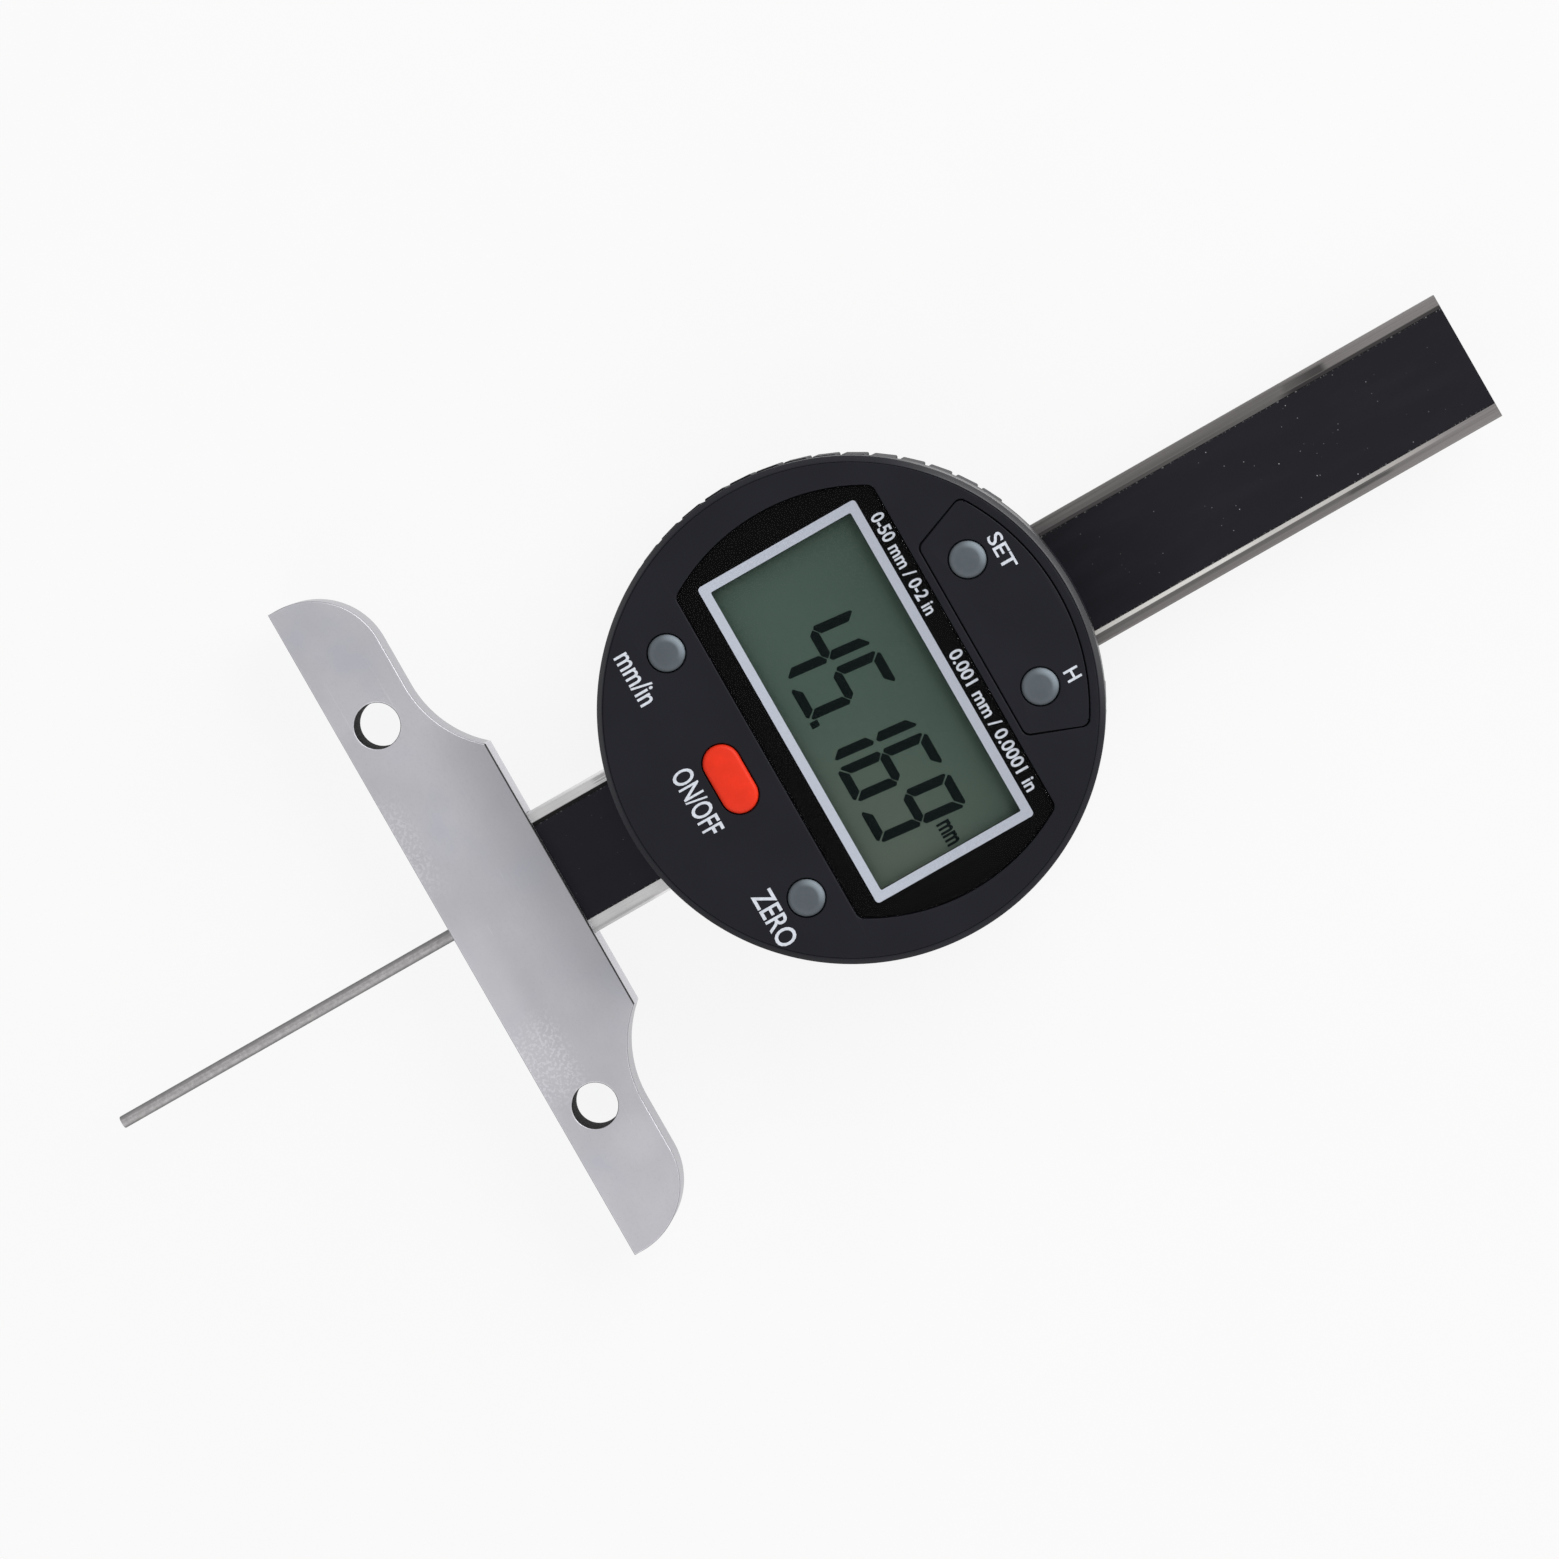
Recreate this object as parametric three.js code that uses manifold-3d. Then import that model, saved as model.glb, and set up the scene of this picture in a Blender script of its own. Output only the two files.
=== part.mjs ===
// Digital depth gauge for 0 to 50.8 mm: a flat steel base, a steel beam with a capacitive scale, and a
// round head that slides on the beam and carries a thin measuring rod through the base.
// Millimetres. The origin is on the measuring face, in the middle of its length and in the plane of the
// beam's front face. X runs along the base, Y along the beam and away from the work, Z out of the display.
import * as THREE from "three";
import { mergeVertices } from "three/addons/utils/BufferGeometryUtils.js";
import Module from "manifold-3d";

// Faceting, cuts and general clearances
const FACET_SAG = 0.025;
const SMALL_FACET_SAG = 0.05;
const SMALL_RADIUS = 2.6;
const CUT_OVERRUN = 1;
const JOIN_OVERLAP = 0.02;
const SCREW_CLEARANCE = 0.1;
const SCREW_SINK = 0.1;

// Travel: the range, the reading shown, and the gap that stays between head and base at full depth
const RANGE = 50.8;
const READING = 45.169;
const HEAD_BASE_GAP = 4.39;

// Base
const BASE_LENGTH = 86.1;
const BASE_HEIGHT = 14.65;
const BASE_THICKNESS = 7.8;
const BASE_FRONT_STEP = 1.2;
const BASE_SHOULDER_HEIGHT = 9.85;
const BASE_SHOULDER_LENGTH = 6.4;
const BASE_END_STRAIGHT = 1.05;
const BASE_END_RADIUS = BASE_SHOULDER_HEIGHT - BASE_END_STRAIGHT;
const BASE_NECK_RADIUS = 13.65;
const BASE_EDGE_CHAMFER = 0.3;
const FIXING_HOLE_DIAMETER = 5.4;
const FIXING_HOLE_INSET = 17.5;
const FIXING_HOLE_HEIGHT = 4.7;
const BEAM_SEAT_HEIGHT = 5;
const SEAT_CLEARANCE = 0.05;

// Screws that hold the beam in the base
const BASE_SCREW_DIAMETER = 2.5;
const BASE_SCREW_HEAD_DIAMETER = 4.5;
const BASE_SCREW_END_GAP = 1.1;
const BASE_SCREW_INSET = 3.05;

// Beam with its scale
const BEAM_WIDTH = 16.1;
const BEAM_THICKNESS = 4;
const BEAM_END_MARGIN = 18.2;
const BEAM_EDGE_CHAMFER = 0.25;
const BEAM_LAND_WIDTH = 1.7;
const SCALE_POCKET_WIDTH = BEAM_WIDTH - 2 * BEAM_LAND_WIDTH;
const SCALE_COVER_SINK = 0.1;
const SCALE_BOARD_THICKNESS = 0.5;
const SCALE_COVER_THICKNESS = 0.2;
const SCALE_POCKET_DEPTH = SCALE_BOARD_THICKNESS + SCALE_COVER_THICKNESS + SCALE_COVER_SINK;
const SCALE_SIDE_CLEARANCE = 0.05;

// Measuring rod, its groove in the beam's back and its anchor
const ROD_DIAMETER = 1.5;
const ROD_TIP_CHAMFER = 0.12;
const ROD_BORE_CLEARANCE = 0.1;
const ROD_GROOVE_COVER = 0.15;
const ROD_GROOVE_CLEARANCE = 0.35;
const ROD_GROOVE_DEPTH = ROD_GROOVE_COVER + ROD_DIAMETER + ROD_GROOVE_CLEARANCE;
const ANCHOR_END_INSET = 9;
const ANCHOR_TONGUE_LENGTH = 6;
const ANCHOR_TONGUE_WALL = 0.2;
const ANCHOR_TONGUE_WIDTH = ROD_DIAMETER + 2 * ANCHOR_TONGUE_WALL;
const ANCHOR_FOOT_LENGTH = 9;
const ANCHOR_FOOT_WIDTH = 7;
const ANCHOR_FOOT_THICKNESS = 1.2;
const ANCHOR_CLEARANCE = 0.1;
const ANCHOR_SIDE_GAP = 0.15;
const ANCHOR_STOP_GAP = 0.3;
const ROD_GROOVE_WIDTH = ANCHOR_TONGUE_WIDTH + 2 * ANCHOR_SIDE_GAP;

// Slider frame with its gib and rear plate
const RAIL_WALL = 3.25;
const SLIDER_END_GAP = 8.8;
const SLIDER_EDGE_CHAMFER = 0.4;
const SLIDER_SIDE_CLEARANCE = 0.05;
const SLIDER_ROOF_GAP = 0.15;
const SLIDER_ROOF_THICKNESS = 1.8;
const SLIDER_FLOOR_GAP = 0.2;
const GIB_THICKNESS = 1.2;
const GIB_END_INSET = 1;
const GIB_INSET = 0.3;
const GIB_SCREW_DIAMETER = 2.5;
const GIB_SCREW_END_INSET = 7;
const GIB_SCREW_SLOT_WIDTH = 0.5;
const GIB_SCREW_SLOT_DEPTH = 0.7;
const REAR_PLATE_THICKNESS = 2.4;
const RAIL_LEFT = -BEAM_WIDTH / 2 - SLIDER_SIDE_CLEARANCE;
const GIB_FACE = BEAM_WIDTH / 2 + SLIDER_SIDE_CLEARANCE;
const RAIL_RIGHT = GIB_FACE + GIB_THICKNESS + SLIDER_SIDE_CLEARANCE;
const SLIDER_WIDTH = 2 * (RAIL_RIGHT + RAIL_WALL);

// Small cross-recessed countersunk screws of the head
const SMALL_SCREW_DIAMETER = 2;
const SMALL_SCREW_HEAD_DIAMETER = 3.6;
const RECESS_WIDTH = 0.5;
const RECESS_DEPTH = 0.5;
const RECESS_SPAN_SHARE = 0.56;
const REAR_PLATE_SCREW_DIAMETER = 1.6;
const REAR_PLATE_SCREW_HEAD_DIAMETER = 2.8;
const REAR_PLATE_SCREW_GRIP = 2.9;
const REAR_PLATE_SCREW_LENGTH = REAR_PLATE_THICKNESS + REAR_PLATE_SCREW_GRIP - SCREW_SINK;
const REAR_PLATE_SCREW_INSET = 1.75;
const REAR_PLATE_SCREW_END_INSET = 3;
const ANCHOR_SCREW_SHORTFALL = 0.2;
const ANCHOR_SCREW_LENGTH = REAR_PLATE_THICKNESS - SCREW_SINK - ANCHOR_SCREW_SHORTFALL;
const SLIDER_FIXING_SPACING = 15;

// Reader board that faces the scale, and its connector
const READER_SIDE_GAP = 0.3;
const READER_SHOE_WIDTH = SCALE_POCKET_WIDTH - 2 * READER_SIDE_GAP;
const READER_SHOE_HEIGHT = 0.8;
const READER_FLANGE_WIDTH = 1.8;
const READER_END_WALL = 2.2;
const READER_CLEARANCE = 0.1;
const CONNECTOR_LENGTH = 11;
const CONNECTOR_WIDTH = 2.6;
const CONNECTOR_HEIGHT = 4.45;
const CONNECTOR_END_INSET = 10;

// Rear cover with the battery pocket
const COVER_THICKNESS = 1.6;
const COVER_PROUD = 0.4;
const COVER_RIM = 1.3;
const COVER_CLEARANCE = 0.1;
const COVER_CHAMFER = 0.3;
const STANDOFF_RADIUS = 2.4;
const STANDOFF_HEIGHT = 2.1;
const BATTERY_DIAMETER = 11.6;
const BATTERY_HEIGHT = 5.4;
const BATTERY_EDGE_CHAMFER = 0.35;
const BATTERY_CLEARANCE = 0.3;
const BATTERY_POCKET_WALL = 0.9;
const BATTERY_POCKET_GAP = 0.15;
const BATTERY_SLIDER_GAP = 0.55;
const BATTERY_POCKET_BORE = BATTERY_DIAMETER / 2 + BATTERY_CLEARANCE;
const BATTERY_POCKET_RADIUS = BATTERY_POCKET_BORE + BATTERY_POCKET_WALL;
const CAP_OVERLAP = 0.1;
const CAP_CLEARANCE = 0.1;
const CAP_SINK = 0.2;
const CAP_BATTERY_GAP = 0.1;
const CAP_SLOT_WIDTH = 1.4;
const CAP_SLOT_DEPTH = 0.6;
const CAP_SLOT_SHARE = 0.75;
const CONTACT_THICKNESS = 0.3;
const CONTACT_WIDTH = 3;
const CONTACT_GAP = 0.1;
const TOP_CONTACT_LENGTH = 6;
const SLIDER_FIXING_END_GAP = 0.4;

// Case ring with its finger grips: it has room for the slider and the battery pocket side by side
const CASE_WALL = 1.6;
const BATTERY_POCKET_NEAR = SLIDER_WIDTH / 2 + BATTERY_SLIDER_GAP;
const CASE_INNER_RADIUS = BATTERY_POCKET_NEAR + 2 * BATTERY_POCKET_RADIUS + BATTERY_POCKET_GAP;
const CASE_RADIUS = CASE_INNER_RADIUS + CASE_WALL;
const CASE_BACK_CHAMFER = 0.7;
const CASE_SLOT_CLEARANCE = 0.4;
const GRIP_HEIGHT = 0.7;
const GRIP_ROOT = 0.4;
const GRIP_FRONT_MARGIN = 0.9;
const GRIP_BACK_MARGIN = 1.5;
const GRIP_COUNT = 20;
const GRIP_PITCH = (6.6 * Math.PI) / 180;
const GRIP_LAND_ANGLE = (5.4 * Math.PI) / 180;

// Lengths along the slider, which is as long as the case allows
const SLIDER_LENGTH = 2 * (CASE_INNER_RADIUS - SLIDER_END_GAP);
const GIB_LENGTH = SLIDER_LENGTH - 2 * GIB_END_INSET;
const GIB_SCREW_SPACING = GIB_LENGTH - 2 * GIB_SCREW_END_INSET;
const READER_SHOE_LENGTH = SLIDER_LENGTH - 2 * (READER_FLANGE_WIDTH + READER_END_WALL);
const ANCHOR_OFFSET = SLIDER_LENGTH / 2 - ANCHOR_END_INSET;
const CONNECTOR_OFFSET = CONNECTOR_END_INSET - SLIDER_LENGTH / 2;

// Front bezel
const BEZEL_OVERHANG = 0.4;
const BEZEL_RADIUS = CASE_RADIUS + BEZEL_OVERHANG;
const BEZEL_WALL = 2.5;
const BEZEL_PLATE_THICKNESS = 1.8;
const BEZEL_CHAMFER = 0.6;
const BEZEL_SEAM_CHAMFER = 0.2;
const BOSS_RADIUS = 2.5;
const BOSS_INSET = 4;
const BOSS_SLIDER_GAP = 0.67;
const BOSS_HOLDER_GAP = 0.25;
const CASE_SCREW_END_GAP = 2.6;

// Main board
const MAIN_BOARD_THICKNESS = 1.2;
const BOARD_REBATE_DEPTH = 1.6;
const BOARD_REBATE_WIDTH = 0.8;
const BOARD_CLEARANCE = 0.1;
const BOARD_NOTCH_CLEARANCE = 0.3;

// Display window and liquid crystal display
const WINDOW_CENTRE = 1.95;
const WINDOW_HEIGHT = 26;
const WINDOW_MARGIN = 4.4;
const WINDOW_TOP = WINDOW_CENTRE + WINDOW_HEIGHT / 2;
const WINDOW_END_RADIUS = BEZEL_RADIUS - WINDOW_MARGIN;
const WINDOW_CORNER_RADIUS = 1.2;
const WINDOW_THICKNESS = 1.2;
const WINDOW_SINK = 0.1;
const WINDOW_CLEARANCE = 0.08;
const WINDOW_END_BORDER = 5;
const WINDOW_SIDE_BORDER = 3.5;
const DISPLAY_OPENING_WIDTH = 2 * (WINDOW_END_RADIUS - WINDOW_END_BORDER);
const DISPLAY_OPENING_HEIGHT = WINDOW_HEIGHT - 2 * WINDOW_SIDE_BORDER;
const LCD_END_LAP = 0.8;
const LCD_SIDE_LAP = 1.3;
const LCD_WIDTH = DISPLAY_OPENING_WIDTH + 2 * LCD_END_LAP;
const LCD_HEIGHT = DISPLAY_OPENING_HEIGHT + 2 * LCD_SIDE_LAP;
const LCD_THICKNESS = 1.2;
const LCD_GAP = 0.1;
const HOLDER_BORDER = 0.7;
const ZEBRA_END_INSET = 2.2;
const ZEBRA_LENGTH = LCD_WIDTH - 2 * ZEBRA_END_INSET;
const ZEBRA_WIDTH = 1.6;
const ZEBRA_INSET = 1;
const ZEBRA_CLEARANCE = 0.1;
const HOLDER_BAR = 1.2;
const REFLECTOR_THICKNESS = 0.4;
const REFLECTOR_GAP = 0.05;
const REFLECTOR_CLEARANCE = 0.2;

// Keys and their rubber pads
const KEY_DIAMETER = 4.3;
const KEY_PROUD = 0.45;
const KEY_EDGE_RADIUS = 0.5;
const KEY_CROWN = 0.12;
const KEY_CLEARANCE = 0.14;
const KEY_FLANGE_WIDTH = 0.65;
const KEY_FLANGE_THICKNESS = 0.8;
const KEY_FLANGE_GAP = 0.1;
const KEY_STEM_DIAMETER = 3;
const KEY_STEM_LENGTH = 1.1;
const KEY_TRAVEL = 0.5;
const KEY_TRAVEL_MARGIN = 0.1;
const POWER_KEY_LENGTH = 8.5;
const POWER_KEY_WIDTH = 4.4;
const LOWER_KEY_EDGE_INSET = 7.1;
const LOWER_KEY_WINDOW_GAP = 4.1;
const POWER_KEY_WINDOW_GAP = 4.9;
const UPPER_KEY_SPACING = 16.8;
const UPPER_KEY_PANEL_INSET = 4.2;
const PAD_THICKNESS = 0.6;
const PAD_DOME_HEIGHT = 0.6;
const PAD_DOME_RADIUS = 2;
const PAD_MARGIN = 3;
const PAD_CORNER_RADIUS = 0.8;
const PAD_WALL_GAP = 0.2;

// Upper key panel, let into the bezel
const KEY_PANEL_WINDOW_GAP = 1.15;
const KEY_PANEL_BASELINE = WINDOW_TOP + KEY_PANEL_WINDOW_GAP;
const KEY_PANEL_END_WIDTH = 4;
const KEY_PANEL_FLARE = 2.65;
const KEY_PANEL_INNER_WIDTH = UPPER_KEY_SPACING + 2 * KEY_PANEL_END_WIDTH;
const KEY_PANEL_OUTER_WIDTH = KEY_PANEL_INNER_WIDTH + 2 * KEY_PANEL_FLARE;
const KEY_PANEL_MARGIN = 1.85;
const KEY_PANEL_OUTER_RADIUS = BEZEL_RADIUS - KEY_PANEL_MARGIN;
const KEY_PANEL_CORNER_RADIUS = 1;
const KEY_PANEL_THICKNESS = 1.2;
const KEY_PANEL_CLEARANCE = 0.15;

// Levels along Z, from the back of the head to its front
const BEAM_BACK = -BEAM_THICKNESS;
const BASE_FRONT = BASE_FRONT_STEP;
const BASE_BACK = BASE_FRONT - BASE_THICKNESS;
const BASE_SCREW_LEVEL = BASE_BACK + SCREW_SINK;
const BASE_SCREW_LENGTH = -SCALE_POCKET_DEPTH - BASE_SCREW_END_GAP - BASE_SCREW_LEVEL;
const REAR_PLATE_FRONT = BEAM_BACK - SLIDER_FLOOR_GAP;
const REAR_PLATE_BACK = REAR_PLATE_FRONT - REAR_PLATE_THICKNESS;
const COVER_FRONT = REAR_PLATE_BACK - STANDOFF_HEIGHT;
const COVER_BACK = COVER_FRONT - COVER_THICKNESS;
const CASE_BACK = COVER_BACK + COVER_PROUD;
const ROD_LEVEL = BEAM_BACK + ROD_GROOVE_COVER + ROD_DIAMETER / 2;
const SLIDER_FRONT = SLIDER_ROOF_GAP + SLIDER_ROOF_THICKNESS;
const BOARD_BACK = SLIDER_FRONT + CONNECTOR_HEIGHT;
const BOARD_FRONT = BOARD_BACK + MAIN_BOARD_THICKNESS;
const SEAM = BOARD_FRONT - BOARD_REBATE_DEPTH;
const PAD_TOP = BOARD_FRONT + PAD_THICKNESS + PAD_DOME_HEIGHT;
const KEY_STEM_LOW = PAD_TOP + KEY_TRAVEL + KEY_TRAVEL_MARGIN;
const KEY_FLANGE_LOW = KEY_STEM_LOW + KEY_STEM_LENGTH;
const KEY_FLANGE_TOP = KEY_FLANGE_LOW + KEY_FLANGE_THICKNESS;
const BEZEL_PLATE_BACK = KEY_FLANGE_TOP + KEY_FLANGE_GAP;
const HEAD_FRONT = BEZEL_PLATE_BACK + BEZEL_PLATE_THICKNESS;
const KEY_TOP = HEAD_FRONT + KEY_PROUD;
const LCD_FRONT = BEZEL_PLATE_BACK - LCD_GAP;
const LCD_BACK = LCD_FRONT - LCD_THICKNESS;
const WINDOW_FRONT = HEAD_FRONT - WINDOW_SINK;
const WINDOW_BACK = WINDOW_FRONT - WINDOW_THICKNESS;
const KEY_PANEL_BACK = HEAD_FRONT - KEY_PANEL_THICKNESS;
const BATTERY_BACK = COVER_FRONT + CAP_BATTERY_GAP;
const BATTERY_FRONT = BATTERY_BACK + BATTERY_HEIGHT;
const CASE_SCREW_LEVEL = COVER_BACK + SCREW_SINK;
const SLIDER_FIXING_LEVEL = CASE_SCREW_LEVEL;
const SLIDER_FIXING_SCREW_LENGTH = REAR_PLATE_FRONT - SLIDER_FIXING_END_GAP - SLIDER_FIXING_LEVEL;
const CASE_SCREW_LENGTH = BEZEL_PLATE_BACK - CASE_SCREW_END_GAP - CASE_SCREW_LEVEL;

// Places along the beam
const HEAD_CENTRE_AT_ZERO = BASE_HEIGHT + HEAD_BASE_GAP + CASE_RADIUS + GRIP_HEIGHT + RANGE;
const HEAD_CENTRE = HEAD_CENTRE_AT_ZERO - READING;
const BEAM_TOP = HEAD_CENTRE_AT_ZERO + SLIDER_LENGTH / 2 + BEAM_END_MARGIN;
const ROD_END = ANCHOR_OFFSET - ANCHOR_TONGUE_LENGTH / 2;
const ANCHOR_END = ANCHOR_OFFSET + ANCHOR_TONGUE_LENGTH / 2;
const GROOVE_END = HEAD_CENTRE_AT_ZERO + ANCHOR_END + ANCHOR_STOP_GAP;

// Places in the head, from its centre
const LCD_LOW = WINDOW_CENTRE - LCD_HEIGHT / 2;
const LCD_HIGH = WINDOW_CENTRE + LCD_HEIGHT / 2;
const WINDOW_LOW = WINDOW_CENTRE - WINDOW_HEIGHT / 2;
const BATTERY_OFFSET = CASE_INNER_RADIUS - BATTERY_POCKET_GAP - BATTERY_POCKET_RADIUS;
const BOSS_CIRCLE_RADIUS = CASE_RADIUS - BOSS_INSET;
const UPPER_BOSS_RISE = LCD_HIGH + HOLDER_BORDER + BOSS_HOLDER_GAP + BOSS_RADIUS;
const LOWER_BOSS_DROP = SLIDER_LENGTH / 2 + BOSS_SLIDER_GAP + BOSS_RADIUS;
const BOSS_PLACES = [
  ...mirroredPlaces(sideOnCircle(BOSS_CIRCLE_RADIUS, UPPER_BOSS_RISE), UPPER_BOSS_RISE),
  ...mirroredPlaces(sideOnCircle(BOSS_CIRCLE_RADIUS, LOWER_BOSS_DROP), -LOWER_BOSS_DROP),
];
const REAR_PLATE_SCREW_X = SLIDER_WIDTH / 2 - REAR_PLATE_SCREW_INSET;
const REAR_PLATE_SCREW_Y = SLIDER_LENGTH / 2 - REAR_PLATE_SCREW_END_INSET;
const REAR_PLATE_SCREW_PLACES = [
  ...mirroredPlaces(REAR_PLATE_SCREW_X, REAR_PLATE_SCREW_Y),
  ...mirroredPlaces(REAR_PLATE_SCREW_X, -REAR_PLATE_SCREW_Y),
];
const SLIDER_FIXING_PLACES = mirroredPlaces(SLIDER_FIXING_SPACING / 2, 0);
const BASE_SCREW_PLACES = mirroredPlaces(
  BEAM_WIDTH / 2 - BASE_SCREW_INSET,
  (BEAM_SEAT_HEIGHT + BASE_HEIGHT) / 2,
);
const LOWER_KEY_RISE = WINDOW_LOW - LOWER_KEY_WINDOW_GAP;
const LOWER_KEYS = mirroredPlaces(
  sideOnCircle(BEZEL_RADIUS - LOWER_KEY_EDGE_INSET, LOWER_KEY_RISE),
  LOWER_KEY_RISE,
);
const UPPER_KEYS = mirroredPlaces(UPPER_KEY_SPACING / 2, KEY_PANEL_BASELINE + UPPER_KEY_PANEL_INSET);
const ROUND_KEYS = {
  unit_key: LOWER_KEYS[0],
  zero_key: LOWER_KEYS[1],
  set_key: UPPER_KEYS[0],
  hold_key: UPPER_KEYS[1],
};
const POWER_KEY = [0, WINDOW_LOW - POWER_KEY_WINDOW_GAP];

const wasm = await Module();
wasm.setup();

function mirroredPlaces(x, y) {
  return [[-x, y], [x, y]];
}

function sideOnCircle(radius, rise) {
  return Math.sqrt(radius * radius - rise * rise);
}

// Solids: a closed geometry as a solid that can be cut and joined, and back again
function solidOf(geometry) {
  const bare = geometry.clone();
  bare.deleteAttribute("normal");
  bare.deleteAttribute("uv");
  const merged = mergeVertices(bare);
  const corners = merged.index.array;
  const triangles = [];
  for (let i = 0; i < corners.length; i += 3) {
    const [a, b, c] = corners.subarray(i, i + 3);
    if (a !== b && b !== c && c !== a) triangles.push(a, b, c);
  }
  return new wasm.Manifold(new wasm.Mesh({
    numProp: 3,
    vertProperties: merged.attributes.position.array,
    triVerts: new Uint32Array(triangles),
  }));
}

function geometryOf(solid) {
  const mesh = solid.getMesh();
  const geometry = new THREE.BufferGeometry();
  geometry.setAttribute("position", new THREE.BufferAttribute(new Float32Array(mesh.vertProperties), 3));
  geometry.setIndex(new THREE.BufferAttribute(new Uint32Array(mesh.triVerts), 1));
  return geometry;
}

function joined(...geometries) {
  const [first, ...others] = geometries.map(solidOf);
  return geometryOf(others.reduce((whole, other) => whole.add(other), first));
}

function cut(geometry, ...tools) {
  return geometryOf(tools.reduce((whole, tool) => whole.subtract(solidOf(tool)), solidOf(geometry)));
}

// Outlines
function facetsOf(radius) {
  const sag = radius < SMALL_RADIUS ? SMALL_FACET_SAG : FACET_SAG;
  const step = 2 * Math.acos(1 - sag / radius);
  return 4 * Math.ceil(Math.PI / 2 / step);
}

function arc(x, y, radius, from, to) {
  const count = Math.max(2, Math.ceil((facetsOf(radius) * Math.abs(to - from)) / (2 * Math.PI)));
  return Array.from({ length: count + 1 }, (_, i) => {
    const angle = from + ((to - from) * i) / count;
    return new THREE.Vector2(x + radius * Math.cos(angle), y + radius * Math.sin(angle));
  });
}

function circle(x, y, radius) {
  return arc(x, y, radius, 0, 2 * Math.PI).slice(1);
}

function corner(x, y, fillet = 0) {
  return Object.assign(new THREE.Vector2(x, y), { fillet });
}

// Turns each corner that states a fillet into an arc tangent to its two sides.
function filleted(points) {
  return points.flatMap((point, i) => {
    if (!point.fillet) return [point];
    const before = points.at(i - 1).clone().sub(point).normalize();
    const after = points[(i + 1) % points.length].clone().sub(point).normalize();
    const half = Math.acos(before.dot(after)) / 2;
    const inwards = before.clone().add(after).normalize();
    const centre = point.clone().addScaledVector(inwards, point.fillet / Math.sin(half));
    const reach = point.fillet / Math.tan(half);
    const start = point.clone().addScaledVector(before, reach).sub(centre).angle();
    const end = point.clone().addScaledVector(after, reach).sub(centre).angle();
    const sweep = Math.atan2(Math.sin(end - start), Math.cos(end - start));
    return arc(centre.x, centre.y, point.fillet, start, start + sweep);
  });
}

function rectangle(x0, y0, x1, y1, fillet = 0) {
  return filleted([
    corner(x0, y0, fillet),
    corner(x1, y0, fillet),
    corner(x1, y1, fillet),
    corner(x0, y1, fillet),
  ]);
}

// A level slot outline: two half circles joined by straight sides.
function obround([x, y], length, width) {
  const reach = (length - width) / 2;
  return [
    ...arc(x + reach, y, width / 2, -Math.PI / 2, Math.PI / 2),
    ...arc(x - reach, y, width / 2, Math.PI / 2, (3 * Math.PI) / 2),
  ];
}

// Solids from outlines: plates that rise along Z, bars along Y, turned bodies on Z, boxes
function plate(outline, zLow, zHigh, { holes = [], chamfer = 0 } = {}) {
  const shape = new THREE.Shape(outline);
  shape.holes = holes.map((hole) => new THREE.Path(hole));
  const geometry = new THREE.ExtrudeGeometry(shape, {
    depth: zHigh - zLow - 2 * chamfer,
    bevelEnabled: chamfer > 0,
    bevelThickness: chamfer,
    bevelSize: chamfer,
    bevelOffset: -chamfer,
    bevelSegments: 1,
    curveSegments: 1,
  });
  return geometry.translate(0, 0, zLow + chamfer);
}

function bar(section, yLow, yHigh) {
  return plate(section, -yHigh, -yLow).rotateX(Math.PI / 2);
}

function cylinder([x, y], radius, zLow, zHigh, chamfer = 0) {
  return plate(circle(x, y, radius), zLow, zHigh, { chamfer });
}

// The profile lists radius and level counterclockwise, with the axis on its left.
function turned(profile) {
  const points = profile.map(([radius, level]) => new THREE.Vector2(radius, level));
  const widest = Math.max(...points.map((point) => point.x));
  return new THREE.LatheGeometry(points, facetsOf(widest)).rotateX(Math.PI / 2);
}

function block([x0, y0, z0], [x1, y1, z1]) {
  const geometry = new THREE.BoxGeometry(x1 - x0, y1 - y0, z1 - z0);
  return geometry.translate((x0 + x1) / 2, (y0 + y1) / 2, (z0 + z1) / 2);
}

// Screws: the head's face is at level 0 and the shank points along +Z
function countersunkScrew(diameter, headDiameter, length) {
  const cone = (headDiameter - diameter) / 2;
  const reach = (headDiameter * RECESS_SPAN_SHARE) / 2;
  const body = turned([
    [0, 0],
    [headDiameter / 2, 0],
    [diameter / 2, cone],
    [diameter / 2, length],
    [0, length],
  ]);
  const half = RECESS_WIDTH / 2;
  return cut(
    body,
    block([-reach, -half, -CUT_OVERRUN], [reach, half, RECESS_DEPTH]),
    block([-half, -reach, -CUT_OVERRUN], [half, reach, RECESS_DEPTH]),
  );
}

function screwHole([x, y], level, diameter, headDiameter, length) {
  const cone = (headDiameter - diameter) / 2;
  const head = headDiameter / 2 + SCREW_CLEARANCE;
  const shank = diameter / 2 + SCREW_CLEARANCE;
  return turned([
    [0, -CUT_OVERRUN],
    [head, -CUT_OVERRUN],
    [head, 0],
    [shank, cone],
    [shank, length + SCREW_CLEARANCE],
    [0, length + SCREW_CLEARANCE],
  ]).translate(x, y, level);
}

const smallScrew = (length) => countersunkScrew(SMALL_SCREW_DIAMETER, SMALL_SCREW_HEAD_DIAMETER, length);
const plateScrew = (length) =>
  countersunkScrew(REAR_PLATE_SCREW_DIAMETER, REAR_PLATE_SCREW_HEAD_DIAMETER, length);
const smallScrewHole = (place, level, length) =>
  screwHole(place, level, SMALL_SCREW_DIAMETER, SMALL_SCREW_HEAD_DIAMETER, length);

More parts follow.
